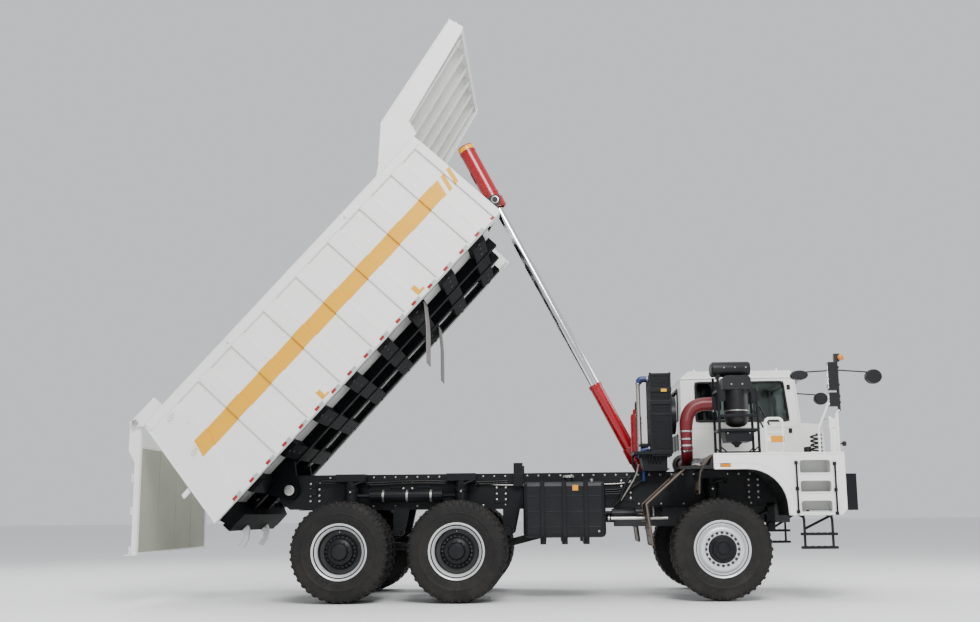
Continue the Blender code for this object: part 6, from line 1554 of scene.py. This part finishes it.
add_block(air, (-0.02, 0.10), (HOSE_Y - 0.10, HOSE_Y + 0.10), (2.57, 2.75))
piece("air cleaner frame", air, PAINT["black_paint"], "chassis", bevel=0.003)
corner = [(math.radians(180 - 15 * k)) for k in range(7)]
lid_line = [(0.115, 2.842)] + [(0.180 + 0.065 * math.cos(a), 2.972 + 0.065 * math.sin(a)) for a in corner]
lid_line += [(0.440 + 0.065 * math.cos(a),
    2.972 + 0.065 * math.sin(a)) for a in [math.radians(90 - 15 * k) for k in range(7)]] + [(0.505,
    2.842)]
add_outline(drum, lid_line, HOSE_Y - 0.215, HOSE_Y + 0.215)
wide = Matrix.Translation((0.316, HOSE_Y, 0)) @ Matrix.Diagonal((1, 1.34, 1, 1))
can = bmesh.new()
add_turned(can, [(2.335, 0.0), (2.337, 0.070), (2.350, 0.110), (2.378, 0.142), (2.420, 0.160),
    (2.470, 0.167), (2.835, 0.167), (2.838, 0.172), (2.858, 0.172), (2.858, 0.0)], (0, 0, 0), (0, 0, 1),
    56)
add_shape(drum, can, wide)
made = piece("air cleaner canister", drum, PAINT["black_plastic"], "chassis",
    bevel=0.008, segments=3)
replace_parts(made, "air_cleaner")
for dy in (-0.075, 0.075):
    add_turned(grille, [(-0.018, 0.0), (-0.018, 0.070), (0.0, 0.098), (0.49, 0.098), (0.515, 0.086),
        (0.521, 0.0)], (0.0, HOSE_Y + dy, 3.142), (1, 0, 0), 36)
for x in (0.08, 0.25, 0.42):
    add_block(grille, (x - 0.020, x + 0.020), (HOSE_Y - 0.12, HOSE_Y + 0.12), (3.02, 3.15))
piece("precleaner drums", grille, PAINT["black_plastic"], "chassis", bevel=0.002)
band = bmesh.new()
add_turned(band, [(2.548, 0.1672), (2.548, 0.1700), (2.562, 0.1700), (2.562, 0.1672)], (0, 0, 0),
    (0, 0, 1), 56)
add_shape(bits, band, wide)
for y, out in ((HOSE_Y - 0.215, -1), (HOSE_Y + 0.215, 1)):
    for x in (0.235, 0.385):
        add_turned(bits, [(0, 0), (0, 0.011), (0.007, 0.010), (0.007, 0)], (x, y, 2.915), (0, out, 0), 12)
    for x in (0.16, 0.46):
        add_turned(bits, [(0, 0), (0, 0.010), (0.006, 0.009), (0.006, 0)], (x, y - out * 0.012, 2.24),
            (0, out, 0), 12)
for x in (0.15, 0.30, 0.45):
    add_turned(bits, [(0, 0), (0, 0.009), (0.006, 0.008), (0.006, 0)], (x, HOSE_Y - 0.172, 3.150),
        (0, -1, 0), 12)
piece("air cleaner latches", bits, PAINT["zinc"], "chassis", bevel=0.001)
add_turned(cone, [(0, 0.0), (0, 0.026), (0.02, 0.034), (0.075, 0.095), (0.085, 0.100), (0.10, 0.100)],
    (0.305, HOSE_Y, 2.055), (0, 0, 1), 28)
piece("dust cone", cone, PAINT["black_hose"], "chassis")

# %% Radiator core, shroud and blue hoses
RAD_X, RAD_Y = (-0.840, -0.560), (-0.900, -0.340)
core, shroud, blue, metal = bmesh.new(), bmesh.new(), bmesh.new(), bmesh.new()
seed = bmesh.new()
add_block(seed, (-0.835, -0.565), (RAD_Y[0] - 0.006, RAD_Y[0] + 0.004), (2.030, 2.036))
fins = repeated(seed, ROW, 54, (0, 0, 0.020))
piece("radiator side fins", fins, PAINT["black_paint"], "chassis")
seed = bmesh.new()
add_block(seed, (-0.846, -0.838), (-0.87, -0.37), (2.10, 2.104))
add_shape(core, repeated(seed, ROW, 78, (0, 0, 0.0115)))
for y in (-0.87, -0.745, -0.62, -0.495, -0.375):
    add_block(core, (-0.850, -0.838), (y - 0.005, y + 0.005), (2.06, 3.08))
piece("radiator core", core, PAINT["engine_grey"], "chassis")
for x in RAD_X:
    for y in RAD_Y:
        add_block(shroud, (x - 0.014, x + 0.014), (y - 0.014, y + 0.014), (1.99, 3.15))
for z in (2.02, 2.55, 3.12):
    add_block(shroud, (-0.856, -0.544), (RAD_Y[0] - 0.012, RAD_Y[0] + 0.010), (z - 0.020, z + 0.020))
    add_block(shroud, (-0.856, -0.544), (RAD_Y[1] - 0.010, RAD_Y[1] + 0.012), (z - 0.020, z + 0.020))
add_turned(shroud, collar(0.24, 0.27, 0.07), (-0.548, -0.62, 2.55), (1, 0, 0), 40)
for k in range(7):
    a = 2 * math.pi * k / 7
    tip = Vector((-0.515, -0.62 + 0.225 * math.cos(a), 2.55 + 0.225 * math.sin(a)))
    add_tube(shroud, [(-0.530, -0.62, 2.55), tip], lambda s: 0.012 + 0.030 * s, 8)
for z in (2.72, 2.90):
    add_block(shroud, (-0.860, -0.54), (RAD_Y[0] - 0.020, RAD_Y[0] - 0.008), (z - 0.03, z + 0.03))
piece("radiator shroud and fan", shroud, PAINT["black_paint"], "chassis", bevel=0.003)
for y in (-0.70, -0.50):
    add_tube(blue, smooth_path([(-0.845, y, 3.075), (-0.91, y, 3.08), (-0.965, y, 3.075),
        (-1.00, y, 3.03)], 6), 0.040 if y == -0.70 else 0.026, 18)
add_tube(blue, smooth_path([(-0.845, -0.70, 2.075), (-0.92, -0.70, 2.06), (-1.00, -0.69, 2.03),
    (-1.02, -0.66, 1.96)], 6), 0.038, 18)
add_tube(blue, smooth_path([(-0.93, -0.56, 1.985), (-0.93, -0.575, 1.90), (-0.935, -0.58, 1.78),
    (-0.945, -0.575, 1.62)], 6), 0.032, 16)
piece("blue coolant hoses", blue, PAINT["blue_silicone"], "chassis")
for z in (3.00, 2.16):
    add_turned(metal, collar(0.029, 0.036, 0.02), (-1.00, -0.70, z), (0, 0, 1), 24)
for y, z in ((-0.70, 3.075), (-0.70, 2.075)):
    add_turned(metal, collar(0.041, 0.046, 0.014), (-0.872, y, z), (1, 0, 0), 24)
add_tube(metal, [(-1.00, -0.70, 2.02), (-1.00, -0.70, 3.00)], 0.0295, 20)
add_tube(metal, smooth_path([(-1.012, -0.60, 1.86), (-1.06, -0.60, 1.70), (-1.18, -0.585, 1.50),
    (-1.28, -0.58, 1.35)], 6), 0.012, 10)
piece("coolant pipes and clamps", metal, PAINT["steel"], "chassis")
label = bmesh.new()
add_block(label, (-0.69, -0.61), (RAD_Y[0] - 0.0225, RAD_Y[0] - 0.0195), (2.872, 2.912))
piece("radiator blank label", label, PAINT["hoist_yellow"], "chassis")
print("radiator dressed")

# %% Red oil tank and engine fittings
tank = bmesh.new()
add_turned(tank, [(0.0, 0.0), (0.0, 0.060), (0.02, 0.078), (0.05, 0.080), (0.52, 0.080), (0.56, 0.070),
    (0.575, 0.045), (0.60, 0.045), (0.635, 0.040), (0.64, 0.0)], (-1.02, -0.41, 2.0305), (0, 0, 1), 36)
for z in (0.14, 0.42):
    add_turned(tank, [(z, 0.080), (z, 0.084), (z + 0.02, 0.084), (z + 0.02, 0.080)],
        (-1.02, -0.41, 2.0305), (0, 0, 1), 36)
made = piece("red oil tank", tank, PAINT["hoist_red"], "chassis")
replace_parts(made, "hydraulic_tank")
lines = bmesh.new()
add_tube(lines, smooth_path([(-1.02, -0.41, 2.67), (-1.02, -0.43, 2.74), (-1.02, -0.50, 2.76),
    (-1.02, -0.58, 2.70), (-1.02, -0.62, 2.50), (-1.01, -0.63, 2.20), (-1.00, -0.62, 2.03)], 6), 0.014,
    10)
add_tube(lines, smooth_path([(-1.07, -0.47, 2.02), (-1.09, -0.50, 1.90), (-1.03, -0.53, 1.78),
    (-0.90, -0.53, 1.74)], 6), 0.016, 10)
for k in range(4):
    add_tube(lines, smooth_path([(-0.88 + 0.05 * k, -0.86, 1.98), (-0.87 + 0.05 * k, -0.80, 1.86),
        (-0.80 + 0.04 * k, -0.62, 1.80), (-0.66 + 0.03 * k, -0.53, 1.79)], 6), 0.011, 8)
piece("oil hoses", lines, PAINT["black_hose"], "chassis")
engine, bright = bmesh.new(), bmesh.new()
add_turned(engine, [(0, 0.05), (0.0, 0.10), (0.03, 0.14), (0.07, 0.145), (0.11, 0.12), (0.13, 0.07),
    (0.13, 0.05)], (-0.355, -0.345, 1.86), (0, 1, 0), 32)
for k in range(6):
    add_block(engine, (-0.20 + 0.13 * k, -0.10 + 0.13 * k), (-0.21, 0.21), (1.795, 1.86))
    add_turned(bright, [(0, 0), (0, 0.016), (0.014, 0.015), (0.014, 0)], (-0.15 + 0.13 * k, -0.15, 1.862),
        (0, 0, 1), 6)
add_tube(engine, smooth_path([(-0.10, -0.26, 1.72), (0.10, -0.30, 1.74), (0.35, -0.30, 1.74),
    (0.62, -0.26, 1.72)], 6), 0.040, 14)
add_turned(bright, collar(0.14, 0.150, 0.015), (-0.355, -0.290, 1.86), (0, 1, 0), 32)
add_tube(bright, smooth_path([(-0.25, -0.40, 1.82), (-0.16, -0.55, 1.84), (-0.14, -0.66, 1.80),
    (-0.20, -0.72, 1.78)], 6), 0.030, 14)
piece("engine head and turbo", engine, PAINT["engine_grey"], "chassis", bevel=0.004)
piece("engine bright parts", bright, PAINT["zinc"], "chassis")
print("engine bay dressed")

# %% Mirrors, lamps and rails on the right deck
glass, shells, lens = bmesh.new(), bmesh.new(), bmesh.new()


def oval(shape, x, z, half, y0, y1, grow=1.0, sides=40):
    """An oval drawn along Y with softened rims."""
    rings = []
    for share, size in ((0.0, 0.80), (0.25, 0.96), (0.5, 1.0), (0.75, 0.96), (1.0, 0.86)):
        y = y0 + (y1 - y0) * share
        ring = []
        for i in range(sides):
            a = 2 * math.pi * i / sides
            ring.append(shape.verts.new((x + half[0] * grow * size * math.cos(a), y,
                z + half[1] * grow * size * math.sin(a))))
        rings.append(ring)
    for first, second in zip(rings, rings[1:]):
        for i in range(sides):
            shape.faces.new((first[i], first[(i + 1) % sides], second[(i + 1) % sides], second[i]))
    shape.faces.new(rings[0])
    shape.faces.new(rings[-1])


for side, y in ((RIGHT, -1.5), (LEFT, 1.655)):
    back, front = 1.52, 1.64
    for z0, z1 in ((2.80, 3.175), (2.58, 2.76)):
        outward = sorted((y - side * 0.022, y + side * 0.082))
        add_block(shells, (back + 0.006, front + 0.004), outward, (z0 - 0.004, z1 + 0.004))
        add_block(glass, (back - 0.004, back + 0.002), (outward[0] + 0.012, outward[1] - 0.012),
            (z0 + 0.012, z1 - 0.012))
    ovals = [(2.14, 2.978, (0.112, 0.101))] + ([(1.14, 3.01, (0.120, 0.068))] if side == RIGHT else [])
    for x, z, half in ovals:
        oval(shells, x, z, half, y - 0.060, y + 0.060)
        add_rod(shells, (x, y, z + half[1] * 0.7), (x, y, 3.075 if x > 2 else 3.055), 0.012, 10)
    for z in (2.62, 2.70, 2.86, 3.10):
        add_turned(shells, collar(0.017, 0.028, 0.03), (1.66, y, z), (0, 0, 1), 16)
piece("mirror shells", shells, PAINT["black_plastic"], "chassis", bevel=0.010, segments=3)
piece("mirror glasses", glass, PAINT["mirror_face"], "chassis", bevel=0.004)
add_turned(lens, [(0, 0), (0, 0.036), (0.012, 0.040), (0.045, 0.036), (0.060, 0.020), (0.063, 0)],
    (1.700, -1.53, 3.245), (0, -1, 0), 24)
add_turned(lens, [(0, 0), (0, 0.036), (0.012, 0.040), (0.045, 0.036), (0.060, 0.020), (0.063, 0)],
    (1.698, -1.50, 3.245), (1, 0, 0), 24)
piece("indicator on the post", lens, PAINT["amber_lens"], "chassis")
white, black = bmesh.new(), bmesh.new()
add_tube(white, [(1.62, -1.5, 1.951), (1.62, -1.5, 2.49), (1.655, -1.5, 2.53)], 0.0245, 16)
add_rod(white, (1.525, -1.5, 2.644), (1.369, -1.5, 2.284), 0.016, 12)
add_tube(white, [(1.369, -1.5, 2.284), (1.369, -1.5, 1.951)], 0.016, 12)
add_block(white, (1.545, 1.607), (-1.497, -1.489), (1.952, 2.42))
for x, y in ((1.62, -1.5), (1.369, -1.5), (1.53, -1.5), (1.53, -0.96)):
    add_turned(white, [(0, 0), (0, 0.045), (0.010, 0.045), (0.010, 0)], (x, y, 1.9502), (0, 0, 1), 20)
frame_of(white, [(0.66, -1.45, 1.96), (0.66, -1.45, 2.43), (0.89, -1.45, 2.43), (0.89, -1.45, 1.96)],
    0.0195, 0.06)
add_tube(white, [(0.66, -1.45, 2.24), (0.89, -1.45, 2.24)], 0.012, 10)
piece("white deck posts", white, PAINT["white_paint"], "chassis", bevel=0.002)
sign = bmesh.new()
add_block(sign, (0.726, 0.908), (-1.468, -1.461), (2.104, 2.194))
piece("orange blank sign", sign, PAINT["orange_plate"], "chassis", bevel=0.002)
coil = [(1.372 + 0.072 * math.cos(t), -1.29 + 0.085 * math.sin(t), 1.985 + 0.0038 * k) for k,
    t in enumerate([k * 0.42 for k in range(64)])]
add_tube(black, coil, 0.0125, 8)
coil = [(1.265 + 0.040 * math.cos(t), -1.22 + 0.055 * math.sin(t), 1.972 + 0.0012 * k) for k,
    t in enumerate([k * 0.42 for k in range(60)])]
add_tube(black, coil, 0.0125, 8)
add_block(black, (1.33, 1.47), (-1.34, -1.16), (1.958, 1.972))
add_rod(black, (1.700, -1.5, 2.040), (1.700, -1.5, 2.104), 0.028, 18, 0.008)
add_block(black, (1.63, 1.70), (-1.505, -1.495), (2.062, 2.082))
piece("air coils and side lamp", black, PAINT["black_hose"], "chassis")
print("deck furniture dressed")
# %% [markdown]
# ## Floor, light and camera
# A pale seamless floor, three soft lamps and a grey-white sky give plain studio light. The camera
# stands low beside the truck's right side and looks slightly up, as someone would who steps back far
# enough to see all of it.

# %% Pale floor
floor_material = surface("pale_studio_floor", (0.82, 0.82, 0.82), 0.6, dust=0.0, wear=0.0, mottling=0.01,
    depth=0.0)
ground = bmesh.new()
bmesh.ops.create_grid(ground, x_segments=1, y_segments=1, size=160)
floor_mesh = bpy.data.meshes.new("studio_floor")
ground.to_mesh(floor_mesh)
ground.free()
studio_floor = bpy.data.objects.new("studio_floor", floor_mesh)
studio_floor.location.z = -0.002
bpy.context.scene.collection.objects.link(studio_floor)
floor_mesh.materials.append(floor_material)

# %% Soft lamps
sky = bpy.data.worlds.new("studio_sky")
bpy.context.scene.world = sky
sky.use_nodes = True
sky.node_tree.nodes["Background"].inputs[0].default_value = (0.95, 0.97, 1.0, 1.0)
sky.node_tree.nodes["Background"].inputs[1].default_value = 0.80


def lamp(name, place, target, size, power):
    data = bpy.data.lights.new(name, "AREA")
    data.size, data.energy = size, power
    made = bpy.data.objects.new(name, data)
    made.location = place
    made.rotation_euler = (Vector(target) - Vector(place)).to_track_quat("-Z", "Y").to_euler()
    bpy.context.scene.collection.objects.link(made)


lamp("key_softbox", (3.0, -15.0, 13.0), (-1.0, 0.0, 3.0), 7.0, 3600)
lamp("rear_softbox", (-10.0, 7.0, 11.0), (-2.0, 0.0, 3.0), 9.0, 900)
lamp("front_softbox", (13.0, 2.0, 7.0), (2.0, 0.0, 2.0), 7.0, 700)
lamp("top_softbox", (-1.0, 0.0, 16.0), (-1.0, 0.0, 0.0), 12.0, 900)

# %% Camera
bearing, climb, tilt = math.radians(2.789), math.radians(9.793), math.radians(-0.52)
forward = Vector((-math.sin(bearing) * math.cos(climb), math.cos(bearing) * math.cos(climb), math.sin(climb)))
right = forward.cross(Vector((0, 0, 1))).normalized()
up = right.cross(forward)
right, up = right * math.cos(tilt) + up * math.sin(tilt), up * math.cos(tilt) - right * math.sin(tilt)
lens = bpy.data.cameras.new("camera")
lens.lens, lens.sensor_width = 43.08, 36.0
camera = bpy.data.objects.new("camera", lens)
camera.matrix_world = Matrix.Translation((FX - 2.302, -17.685, 1.183)) @ Matrix(
    ((right.x, up.x, -forward.x), (right.y, up.y, -forward.y), (right.z, up.z, -forward.z))).to_4x4()
bpy.context.scene.collection.objects.link(camera)
bpy.context.scene.camera = camera
